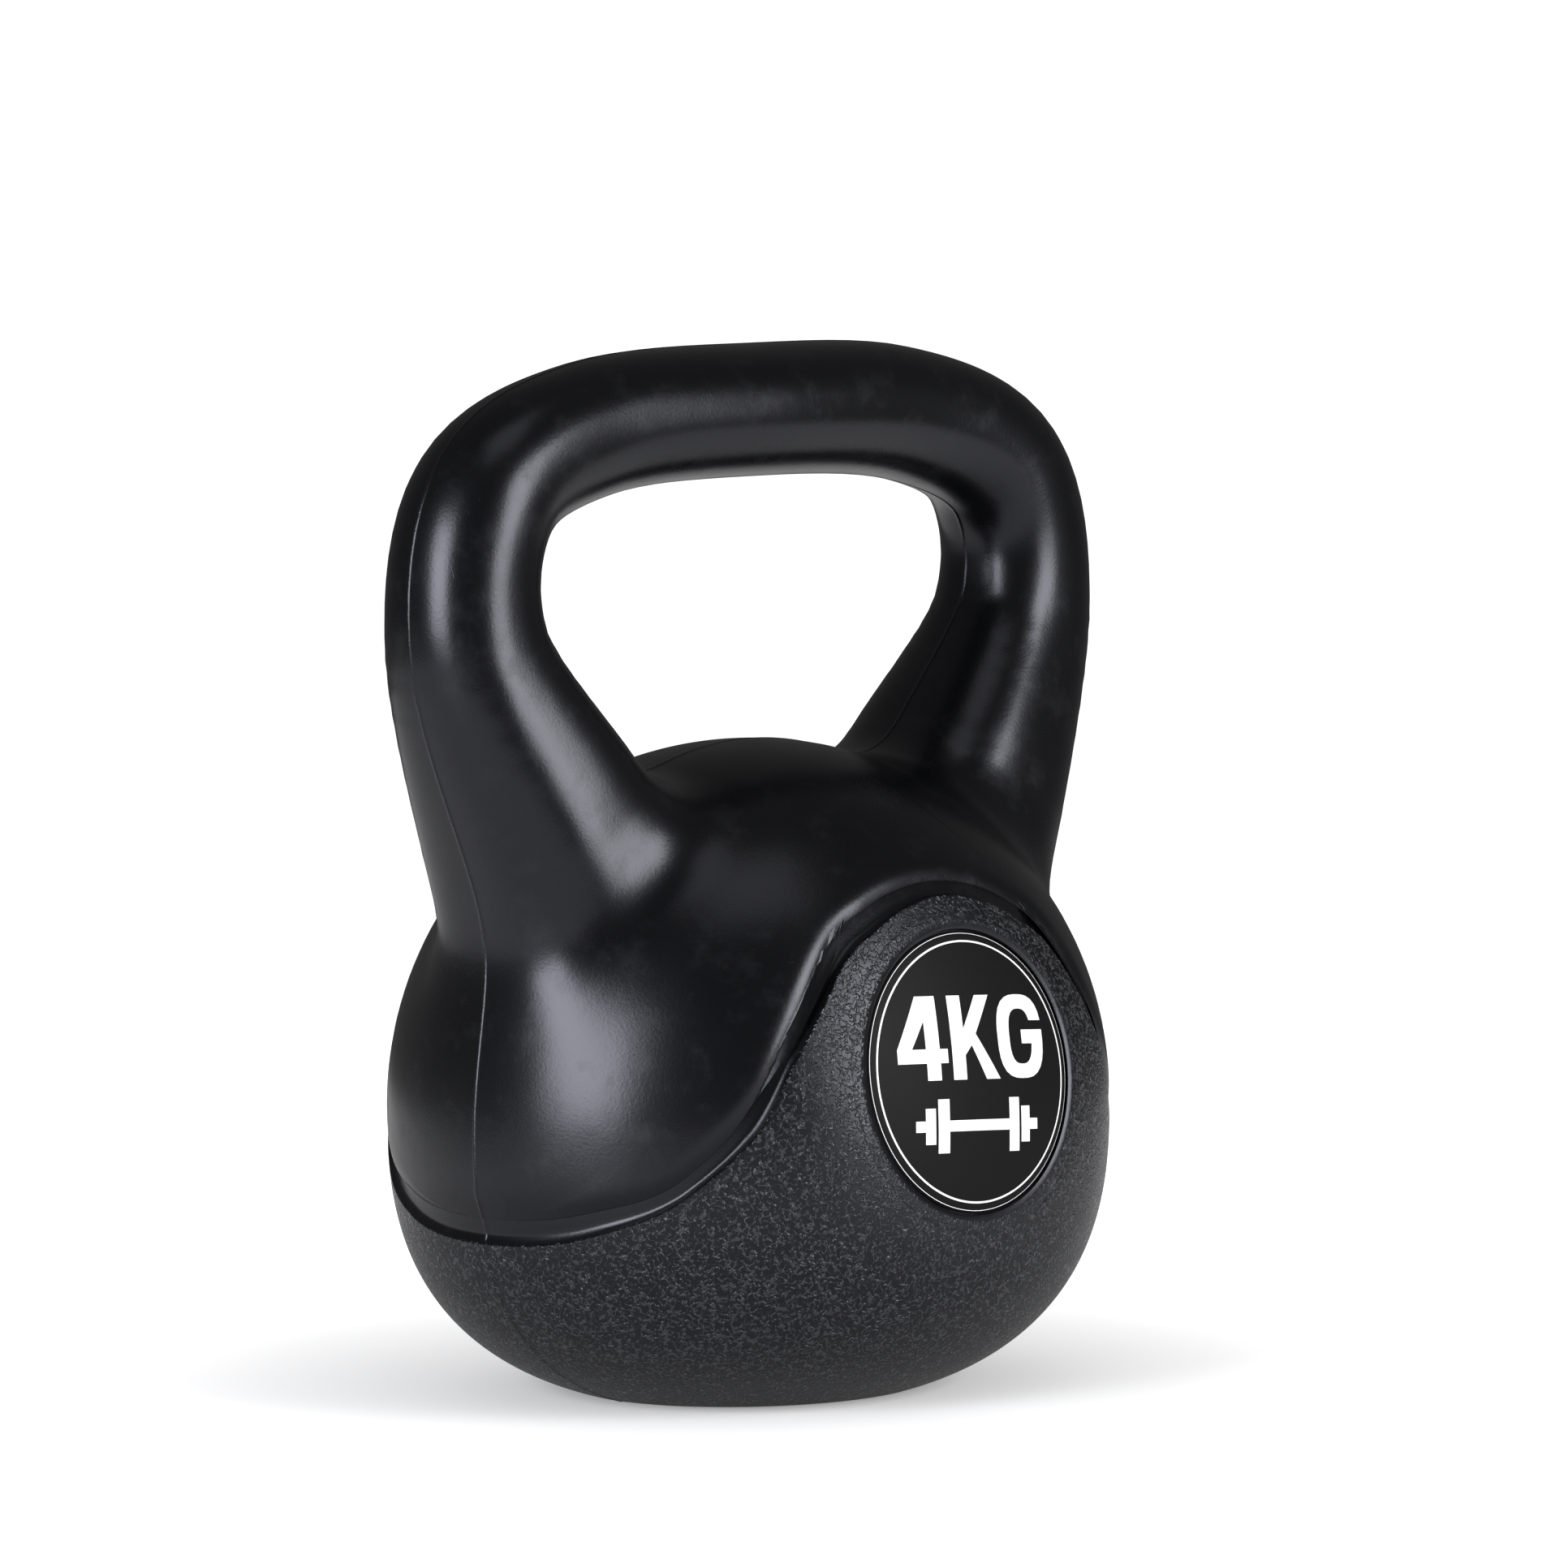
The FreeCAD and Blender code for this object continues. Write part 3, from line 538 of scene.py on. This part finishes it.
BAND_SHARES = np.array([0.0, 0.025, 0.2, 0.4, 0.58, 0.66, 0.74, 0.82, 0.89, 0.95, 1.0, 1.05, 1.15, 1.35])
WALL_FROM = 0.58
WALL_SHARES = np.clip((BAND_SHARES - WALL_FROM) / (1.0 - WALL_FROM), 0.0, 1.0)
BAND_RELIEF = -BAND_DEPTH * (1.0 - WALL_SHARES ** 2)
BAND_RELIEF[0] = -LIP_DROP
GRAIN_FROM, GRAIN_RUN = 0.93, 0.12
BELLY_ROWS, MERIDIAN_SAMPLES = 62, 160
MOST_SLANT = 2.6
BASE_EDGE = 0.6
FILLER_DEPTH = 6.6
BASE_RAY_LEVEL = 0.01
# The base's corners stay crisp through a ring of points close to each of them, on the wall and on the flat.
WALL_HOLD, FLAT_HOLD = 0.15, 0.2
COLLAR_OVERLAP, COLLAR_SINK = 0.7, 2.6
SEAT_RADIUS = BADGE_RADIUS + BADGE_CLEARANCE
COLLAR_RADIUS = SEAT_RADIUS + 4.4


def from_badge_axis(points):
    """Distance of points from the axis of the front badge."""
    offset = points - PAD_MIDDLE
    return np.linalg.norm(offset - (offset @ PAD_OUT)[..., None] * PAD_OUT, axis=-1)


def on_bowl(azimuth, dip):
    """Where rays from the bowl's middle, by azimuth and by angle above the level, leave the body."""
    level = np.cos(dip)
    direction = np.stack([level * np.sin(azimuth), -level * np.cos(azimuth), np.sin(dip)], axis=-1)
    start = np.broadcast_to(np.array([0.0, 0.0, BOWL_LEVEL]), direction.shape)
    return reach_surface(start, direction)


def base_rings(azimuth, edge):
    """Rings from the base's edge inwards: the flat base, the plug's recess and the filling hole, closed."""
    top = PLUG_RECESS_DEPTH
    flat = [(edge + (PLUG_RECESS_RADIUS - edge) * share, 0.0) for share in (0.0, 0.08, 0.5, 0.94, 1.0)]
    flat += [(PLUG_RECESS_RADIUS + 0 * edge, z) for z in (WALL_HOLD, top - WALL_HOLD, top)]
    held = (PLUG_RECESS_RADIUS - FLAT_HOLD, FILLER_RADIUS + FLAT_HOLD, FILLER_RADIUS)
    flat += [(r + 0 * edge, top) for r in held]
    flat += [(r + 0 * edge, top + FILLER_DEPTH) for r in (FILLER_RADIUS, 0.0)]
    return [np.stack([r * np.sin(azimuth), -r * np.cos(azimuth), z + 0 * r], axis=-1) for r, z in flat]


def lower_grid():
    """Border band, grained belly and base: columns are meridians through the lip's points, rows go down.

    The band's rows lie at fixed shares of its width. Under the seat's collar the skin sinks out of the way.
    """
    azimuth = LIP_AZIMUTH
    foot = reach_surface(np.zeros((len(azimuth), 3)) + [0.0, 0.0, BASE_RAY_LEVEL],
                         np.stack([np.sin(azimuth), -np.cos(azimuth), 0 * azimuth], axis=-1))
    lip_reach = np.hypot(LIP[:, 0], LIP[:, 1])
    dip_from = np.arctan2(LIP[:, 2] - BOWL_LEVEL, lip_reach)
    dip_to = np.arctan2(-BOWL_LEVEL, np.hypot(foot[:, 0], foot[:, 1]))
    fine = np.linspace(0.0, 1.0, MERIDIAN_SAMPLES)[:, None]
    dips = dip_from + (dip_to - dip_from) * fine

    run = np.linalg.norm(np.diff(on_bowl(azimuth, dips), axis=0), axis=-1)
    length = np.vstack([np.zeros(len(azimuth)), np.cumsum(run, axis=0)])
    level_run = np.hypot(np.gradient(LIP[:, 0]), np.gradient(LIP[:, 1]))
    rise = np.gradient(LIP[:, 2]) / np.maximum(level_run, 1e-6)
    rise[0] = rise[-1] = 0.0
    slant = np.minimum(np.sqrt(1.0 + rise ** 2), MOST_SLANT)
    width = along_border(azimuth, BAND_WIDTHS)
    band = BAND_SHARES[:, None] * width * slant
    belly = np.linspace(0.0, 1.0, BELLY_ROWS + 1)[1:, None]
    stops = np.vstack([band, band[-1] + (length[-1] - BASE_EDGE - band[-1]) * belly])
    dip = np.stack([np.interp(stops[:, j], length[:, j], dips[:, j]) for j in range(len(azimuth))], axis=1)
    points = on_bowl(azimuth, dip)
    points[0] = LIP
    sink_from = COLLAR_RADIUS - COLLAR_OVERLAP
    sunk = smooth_step((sink_from - from_badge_axis(points)) / (sink_from - SEAT_RADIUS))
    relief = np.zeros(points.shape[:2])
    relief[:len(BAND_SHARES)] = BAND_RELIEF[:, None]
    relief = relief - COLLAR_SINK * sunk + seam_relief(points)
    points = points + relief[..., None] * straight_out(points)
    grain = np.ones(points.shape[:2])
    grain[:len(BAND_SHARES)] = smooth_step((BAND_SHARES - GRAIN_FROM) / GRAIN_RUN)[:, None]
    rings = base_rings(azimuth, np.hypot(foot[:, 0], foot[:, 1]) - BASE_EDGE)
    bare = np.zeros((len(rings), len(azimuth)))
    return np.concatenate([points, rings]), np.concatenate([grain, bare])


def four_quarters(points, quads, marks):
    """A quarter mirrored to a whole; a single mirror turns the faces' order round."""
    flipped = quads[:, ::-1]
    every, faces = [], []
    for across, deep in ((1, 1), (-1, 1), (1, -1), (-1, -1)):
        order = quads if across == deep else flipped
        faces.append(order + len(points) * len(every))
        every.append(points * [across, deep, 1])
    return np.concatenate(every), np.concatenate(faces), {k: np.tile(v, 4) for k, v in marks.items()}


def build_skin():
    """Upper and lower grids joined along the lip line, and mirrored both ways."""
    upper = upper_grid()
    lower, grain = lower_grid()
    lower[0] = upper[HANDLE_STEPS:, 0]
    upper_quads = quads_of(*upper.shape[:2])
    lower_quads = quads_of(*lower.shape[:2])[:, ::-1] + upper[..., 0].size
    points = np.concatenate([upper.reshape(-1, 3), lower.reshape(-1, 3)])
    marks = {"grain": np.concatenate([np.zeros(upper[..., 0].size), grain.reshape(-1)])}
    whole = four_quarters(points, np.concatenate([upper_quads, lower_quads]), marks)
    make_piece("moulded_skin", whole[0], whole[1], SKIN, "shell", whole[2])


build_skin()


# ================================================================ the seat's collar, the badge and its print
ROUND_STEPS = 240


def on_pad(right, up, depth):
    """Points over the front badge by their place across it and their depth from the pad's dome."""
    lift = np.sqrt((PAD_DOME + depth) ** 2 - right ** 2 - up ** 2)
    across = np.stack([right, 0 * right, 0 * right], axis=-1)
    return PAD_CENTRE + across + up[..., None] * PAD_UP + lift[..., None] * PAD_OUT


def both_pads(name, points, quads, material, stands_for=None, marks=None):
    """A piece for the front and its twin, turned round, for the rear."""
    for end, placed in (("front", points), ("rear", turned_round(points))):
        node = end + "_badge" if stands_for == "badge" else stands_for
        make_piece(end + "_" + name, placed, quads, material, node, marks)


RIM_DROP, RIM_WIDE = 0.62, 2.1
SMOOTH_RIM, GRAIN_FADE = 1.2, 0.8
RAYS_FROM = 20.0


def collar():
    """The rim of the badge's seat: a closed ring. Its section runs from the seat over the rim and back below.

    Depths are taken from the pad's dome in the seat, and from the skin outside it. The rim rounds over to
    the seat: -drop (1 - out / wide)^2. The grain fades in beyond the rim's smooth inner edge.
    """
    out = np.array([0.12, 0.3, 0.55, 0.8, 1.05, 1.3, 1.6, 1.9, 2.2, 2.8, 3.4, 3.9])
    top = 0.02 - RIM_DROP * np.clip(1.0 - (out - out[0]) / RIM_WIDE, 0.0, 1.0) ** 2
    offset = np.concatenate([[-1.0, -0.05, 0.0, 0.04], out, [4.2, 4.4, 3.4, 1.0, -1.0]])
    depth = np.concatenate([[-1.75, -1.70, -1.60, -0.75], top, [-0.06, -0.4, -1.6, -2.4, -2.3]])
    from_dome = np.zeros((len(offset), 1))
    from_dome[[0, 1, 2, -1]] = 1.0
    angle = np.linspace(0.0, 2.0 * math.pi, ROUND_STEPS, endpoint=False)
    radius = SEAT_RADIUS + offset[:, None]
    right, up = radius * np.cos(angle), radius * np.sin(angle)
    dome = on_pad(right, up, np.zeros_like(right))
    start = dome - RAYS_FROM * PAD_OUT
    surface = reach_surface(start, np.broadcast_to(PAD_OUT, start.shape))
    base = surface + (dome - surface) * from_dome[..., None]
    points = base + depth[:, None, None] * PAD_OUT
    points = np.concatenate([points, points[:1]])
    grain = np.repeat(smooth_step((offset - SMOOTH_RIM) / GRAIN_FADE), ROUND_STEPS)
    grain = np.concatenate([grain, grain[:ROUND_STEPS]])
    quads = quads_of(*points.shape[:2], ring=True)
    both_pads("seat_collar", points.reshape(-1, 3), quads, SKIN, "shell", {"grain": grain})


FLAT_SHARES = [0.0, 0.15, 0.3, 0.45, 0.6, 0.75, 0.85, 0.925]
ROLLED_SHARES = [0.945, 0.962, 0.976, 0.987, 0.995, 1.0]
BACK_SHARE = 0.6
FACE_RADII = BADGE_RADIUS * np.array(FLAT_SHARES + ROLLED_SHARES)
FACE_DEPTHS = BADGE_FACE - np.array([0.0] * len(FLAT_SHARES) + [0.02, 0.06, 0.12, 0.20, 0.32, 0.50])


def face_depth(radius):
    """Depth of the badge's face: the dome, rolling off over its outer rim."""
    return np.interp(radius, FACE_RADII, FACE_DEPTHS)


def lathe(radii, depths):
    """A closed section, from point to point, carried round the badge's axis."""
    angle = np.linspace(0.0, 2.0 * math.pi, ROUND_STEPS, endpoint=False)
    right, up = radii[:, None] * np.cos(angle), radii[:, None] * np.sin(angle)
    points = on_pad(right, up, depths[:, None] + 0.0 * right)
    return points.reshape(-1, 3), quads_of(len(radii), ROUND_STEPS, ring=True)


def badge():
    """A thin disc with a rolled rim: its section runs from the face's middle over the rim to the back's."""
    radii = np.concatenate([FACE_RADII, [BADGE_RADIUS, BACK_SHARE * BADGE_RADIUS, 0.0]])
    depths = np.concatenate([FACE_DEPTHS, [BADGE_BACK] * 3])
    points, quads = lathe(radii, depths)
    both_pads("badge_disc", points, quads[:, ::-1], FILM, "badge")


INK_THICK, INK_SUNK = 0.02, 0.04
RING_SHARE, EDGE_LINE_SHARE = 0.925, 0.982
TILE_STEP = 1.4


def printed_ring(name, middle, wide):
    """A ring of ink of a width round the badge."""
    radii = middle + wide / 2 * np.array([-1.0, -1.0, 0.0, 1.0, 1.0, 0.0, -1.0])
    lift = np.array([-INK_SUNK, INK_THICK, INK_THICK, INK_THICK, -INK_SUNK, -INK_SUNK, -INK_SUNK])
    points, quads = lathe(radii, face_depth(radii) + lift)
    both_pads(name, points, quads[:, ::-1], INK)


def slab(corners):
    """A thin tile of ink between four corners: its face is a bilinear grid on the badge, closed behind."""
    a, b, c, d = [np.array(corner, float) for corner in corners]
    wide = math.ceil(max(np.linalg.norm(b - a), np.linalg.norm(c - d)) / TILE_STEP)
    high = math.ceil(max(np.linalg.norm(d - a), np.linalg.norm(c - b)) / TILE_STEP)
    u = np.concatenate([[0.0], np.linspace(0.0, 1.0, wide + 1), [1.0]])[None, :, None]
    v = np.concatenate([[0.0], np.linspace(0.0, 1.0, high + 1), [1.0]])[:, None, None]
    flat = (a * (1 - u) + b * u) * (1 - v) + (d * (1 - u) + c * u) * v
    depth = np.full(flat.shape[:2], BADGE_FACE + INK_THICK)
    depth[0] = depth[-1] = BADGE_FACE - INK_SUNK
    depth[:, 0] = depth[:, -1] = BADGE_FACE - INK_SUNK
    rows, columns = depth.shape
    front = on_pad(flat[..., 0], flat[..., 1], depth).reshape(-1, 3)
    back = on_pad(flat[..., 0], flat[..., 1], np.full(depth.shape, BADGE_FACE - INK_SUNK)).reshape(-1, 3)
    quads = quads_of(rows, columns)
    inner = quads_of(rows, columns)[:, ::-1] + len(front)
    return np.concatenate([front, back]), np.concatenate([quads, inner])


MARK_HIGH, MARK_STROKE = 17.0, 3.6
MARK_LEFT, MARK_LOW = -21.2, 6.8 - MARK_HIGH / 2
K_START, G_START = 14.2, 27.6
SIGN_LEVEL = -10.9
MARK_TURN = math.radians(-3.5)


def four():
    """The figure 4, 13 mm wide: a slanting stroke, a bar and a stem, as four-cornered tiles."""
    left, right, foot, top = 7.3, 10.9, 3.45, 6.3
    return [
        [(left, 0), (right, 0), (right, foot), (left, foot)],
        [(left, foot), (right, foot), (right, top), (left, top)],
        [(left, top), (right, top), (right, 12.0), (left, 12.0)],
        [(left, 12.0), (right, 12.0), (right, MARK_HIGH), (left, MARK_HIGH)],
        [(0, foot), (left, foot), (left, top), (0, top)],
        [(right, foot), (13.0, foot), (13.0, top), (right, top)],
        [(0, top), (3.7, top), (left, 12.0), (3.1, 12.0)],
        [(3.1, 12.0), (left, 12.0), (left, MARK_HIGH), (5.8, MARK_HIGH)],
    ]


def letter_k(x):
    """The letter K, 13.3 mm wide: a stem, an arm up and a leg down."""
    return [
        [(x, 0), (x + MARK_STROKE, 0), (x + MARK_STROKE, MARK_HIGH), (x, MARK_HIGH)],
        [(x + MARK_STROKE, 4.9), (x + 5.6, 6.9), (x + 7.0, 9.2), (x + MARK_STROKE, 10.2)],
        [(x + MARK_STROKE, 10.2), (x + 7.0, 9.2), (x + 11.9, MARK_HIGH), (x + 7.9, MARK_HIGH)],
        [(x + 9.3, 0), (x + 13.3, 0), (x + 7.0, 9.2), (x + 5.6, 6.9)],
    ]


def letter_g(x):
    """The letter G, 14.2 mm wide: a squared ring, open at the right, with a bar."""
    half_wide, half_high, power = 7.1, MARK_HIGH / 2, 2.8
    turn = np.radians(np.linspace(21.0, 350.0, 31))
    cos, sin = np.cos(turn), np.sin(turn)
    scale = (np.abs(cos) ** power + np.abs(sin) ** power) ** (-1.0 / power)
    rings = []
    for wide, high in ((half_wide, half_high), (half_wide - MARK_STROKE, half_high - 2.9)):
        rings.append(np.stack([x + half_wide + wide * cos * scale, half_high + high * sin * scale], axis=-1))
    outer, inner = rings
    outer[0, 1] = inner[0, 1] = 11.7
    outer[-1, 1] = inner[-1, 1] = 7.0
    outer[-1, 0], inner[-1, 0] = x + 2 * half_wide, x + 2 * half_wide - MARK_STROKE
    ring = [[outer[i + 1], inner[i + 1], inner[i], outer[i]] for i in range(len(turn) - 1)]
    bar = [[(x + 7.4, 7.0), (x + 14.2, 7.0), (x + 14.2, 9.8), (x + 7.4, 9.8)]]
    return ring + bar


def box_tile(x0, y0, x1, y1):
    """A plain rectangle as one tile."""
    return [(x0, y0), (x1, y0), (x1, y1), (x0, y1)]


def barbell_sign():
    """A plain bar with two plates at each end, under the weight mark."""
    half = [(8.6, -5.4, 11.6, 5.4), (12.3, -3.6, 14.9, 3.6), (14.9, -1.1, 17.4, 1.1)]
    tiles = [box_tile(-8.6, -1.1, 8.6, 1.1)]
    for x0, y0, x1, y1 in half:
        tiles += [box_tile(x0, y0, x1, y1), box_tile(-x1, y0, -x0, y1)]
    return tiles


def turned_mark(corner):
    """A corner turned round the badge's middle, because the badge sits a little askew."""
    cos, sin = math.cos(MARK_TURN), math.sin(MARK_TURN)
    return corner[0] * cos - corner[1] * sin, corner[0] * sin + corner[1] * cos


def print_tiles(name, tiles, move):
    """All tiles of one mark, moved to their place on the badge, as one piece."""
    points, quads, count = [], [], 0
    for corners in tiles:
        tile_points, tile_quads = slab([turned_mark(np.add(corner, move)) for corner in corners])
        points.append(tile_points)
        quads.append(tile_quads + count)
        count += len(tile_points)
    both_pads(name, np.concatenate(points), np.concatenate(quads), INK)


collar()
badge()
printed_ring("printed_ring", RING_SHARE * BADGE_RADIUS, 0.38)
printed_ring("printed_edge_line", EDGE_LINE_SHARE * BADGE_RADIUS, 0.11)
print_tiles("weight_mark", four() + letter_k(K_START) + letter_g(G_START), (MARK_LEFT, MARK_LOW))
print_tiles("barbell_sign", barbell_sign(), (0.0, SIGN_LEVEL))

for node, material in (("fill_plug", black_plug()), ("concrete_fill", set_mortar())):
    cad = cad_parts[node]
    cad.data.materials.clear()
    cad.data.materials.append(material)

# ================================================================ studio
CAMERA_AZIMUTH, CAMERA_HEIGHT, CAMERA_ROLL = math.radians(-45.04), math.radians(4.72), math.radians(-0.33)
CAMERA_FAR, CAMERA_LENS, SENSOR_WIDTH = 2074.2, 232.2, 36.0
AIM_ASIDE, AIM_LEVEL = 7.47, 123.8
SIGHT_END = 50.0
LIT_LEVEL, LAMPS_FAR = 0.11, 1.2


def direction_of(azimuth, height):
    """Unit vector to an azimuth from the front, positive to +X, and a height above the horizon."""
    level = math.cos(height)
    return Vector((math.sin(azimuth) * level, -math.cos(azimuth) * level, math.sin(height)))


def place_camera():
    """The camera stands a long way off and looks past the bell's axis, rolled by a fraction of a degree."""
    back = direction_of(CAMERA_AZIMUTH, CAMERA_HEIGHT)
    right = Vector((math.cos(CAMERA_AZIMUTH), math.sin(CAMERA_AZIMUTH), 0.0))
    up = back.cross(right)
    aim = Vector((0.0, 0.0, AIM_LEVEL)) + right * AIM_ASIDE
    cos, sin = math.cos(CAMERA_ROLL), math.sin(CAMERA_ROLL)
    axes = (right * cos + up * sin, up * cos - right * sin, back)
    camera = bpy.data.objects.new("camera", bpy.data.cameras.new("camera"))
    place = Matrix.Translation((aim + back * CAMERA_FAR) * MM)
    camera.matrix_world = place @ Matrix(axes).transposed().to_4x4()
    camera.data.lens, camera.data.sensor_width = CAMERA_LENS, SENSOR_WIDTH
    camera.data.clip_end = SIGHT_END
    bpy.context.scene.collection.objects.link(camera)
    bpy.context.scene.camera = camera


def soft_box(name, azimuth, height, wide, high, radiance, colour=(1.0, 1.0, 1.0)):
    """A flat lamp, in metres, that faces the bell. Its power is pi times its area times its radiance."""
    lamp = bpy.data.lights.new(name, "AREA")
    lamp.shape, lamp.size, lamp.size_y = "RECTANGLE", wide, high
    lamp.energy, lamp.color = math.pi * wide * high * radiance, colour
    thing = bpy.data.objects.new(name, lamp)
    toward = direction_of(math.radians(azimuth), math.radians(height))
    thing.location = Vector((0.0, 0.0, LIT_LEVEL)) + toward * LAMPS_FAR
    thing.rotation_euler = toward.to_track_quat("Z", "Y").to_euler()
    bpy.context.scene.collection.objects.link(thing)


FLOOR_RADIUS, FLOOR_STEPS = 0.7, 96
MIRRORED_SHARE = 0.42


def lay_floor():
    """A round pale sheet under the bell that glows though it is no lamp: painted light, weaker near the bell,
    which paints shade round it.

    Reflections see it at less than half its light.
    """
    angle = np.linspace(0.0, 2.0 * math.pi, FLOOR_STEPS, endpoint=False)
    rim = np.stack([FLOOR_RADIUS * np.cos(angle), FLOOR_RADIUS * np.sin(angle), 0.0 * angle], axis=-1)
    mesh = bpy.data.meshes.new("floor")
    mesh.from_pydata(rim.tolist(), [], [tuple(range(len(rim)))])
    material, n, surface, place = start_material("pale_floor")
    mirrored = n.add("ShaderNodeLightPath").outputs["Is Glossy Ray"]
    speck = n.noise(place, 0.02, 3.0, 0.5)
    pale = n.blend(speck, (0.90, 0.90, 0.905, 1.0), (0.92, 0.92, 0.925, 1.0))
    dimmed = n.scaled(pale, [MIRRORED_SHARE] * 3)
    colour = n.tree.nodes.new("ShaderNodeMix")
    colour.data_type = "RGBA"
    factor, first, second = colour.inputs[0], colour.inputs[6], colour.inputs[7]
    for source, socket in ((mirrored, factor), (pale, first), (dimmed, second)):
        n.tree.links.new(source, socket)
    # Painted light: the floor glows in its own colour though it is no lamp. The glow is weak near the bell
    # and full from 260 mm out, which paints shade round the bell.
    for label in ("Base Color", "Emission Color"):
        n.tree.links.new(colour.outputs[2], surface.inputs[label])
    away = n.add("ShaderNodeVectorMath", {0: place}, operation="LENGTH").outputs["Value"]
    n.tree.links.new(n.remap(away, 70.0, 260.0, 0.28, 1.0), surface.inputs["Emission Strength"])
    surface.inputs["Roughness"].default_value = 0.6
    surface.inputs["Specular IOR Level"].default_value = 0.0
    mesh.materials.append(material)
    floor = bpy.data.objects.new("floor", mesh)
    bpy.context.scene.collection.objects.link(floor)


SEEN_LIGHT, DULL_LIGHT, MIRRORED_LIGHT = 1.15, 0.50, 0.09


def light_world():
    """White all round for the eye, a soft grey for dull surfaces, and a dark studio in reflections."""
    world = bpy.data.worlds.new("studio")
    bpy.context.scene.world = world
    world.use_nodes = True
    n = Nodes(world.node_tree)
    background = world.node_tree.nodes["Background"]
    background.inputs["Color"].default_value = (1.0, 1.0, 1.0, 1.0)
    path = n.add("ShaderNodeLightPath").outputs
    unseen = n.mix(path["Is Glossy Ray"], DULL_LIGHT, MIRRORED_LIGHT)
    n.tree.links.new(n.mix(path["Is Camera Ray"], unseen, SEEN_LIGHT), background.inputs["Strength"])


place_camera()
lay_floor()
light_world()
soft_box("right_box", 18.0, 15.0, 0.54, 0.74, 8.5)
soft_box("left_box", -88.0, 13.0, 0.56, 0.72, 9.5, (0.97, 0.98, 1.0))
soft_box("top_box", -20.0, 72.0, 0.6, 0.5, 0.7)
bpy.context.scene.view_settings.view_transform = "Standard"
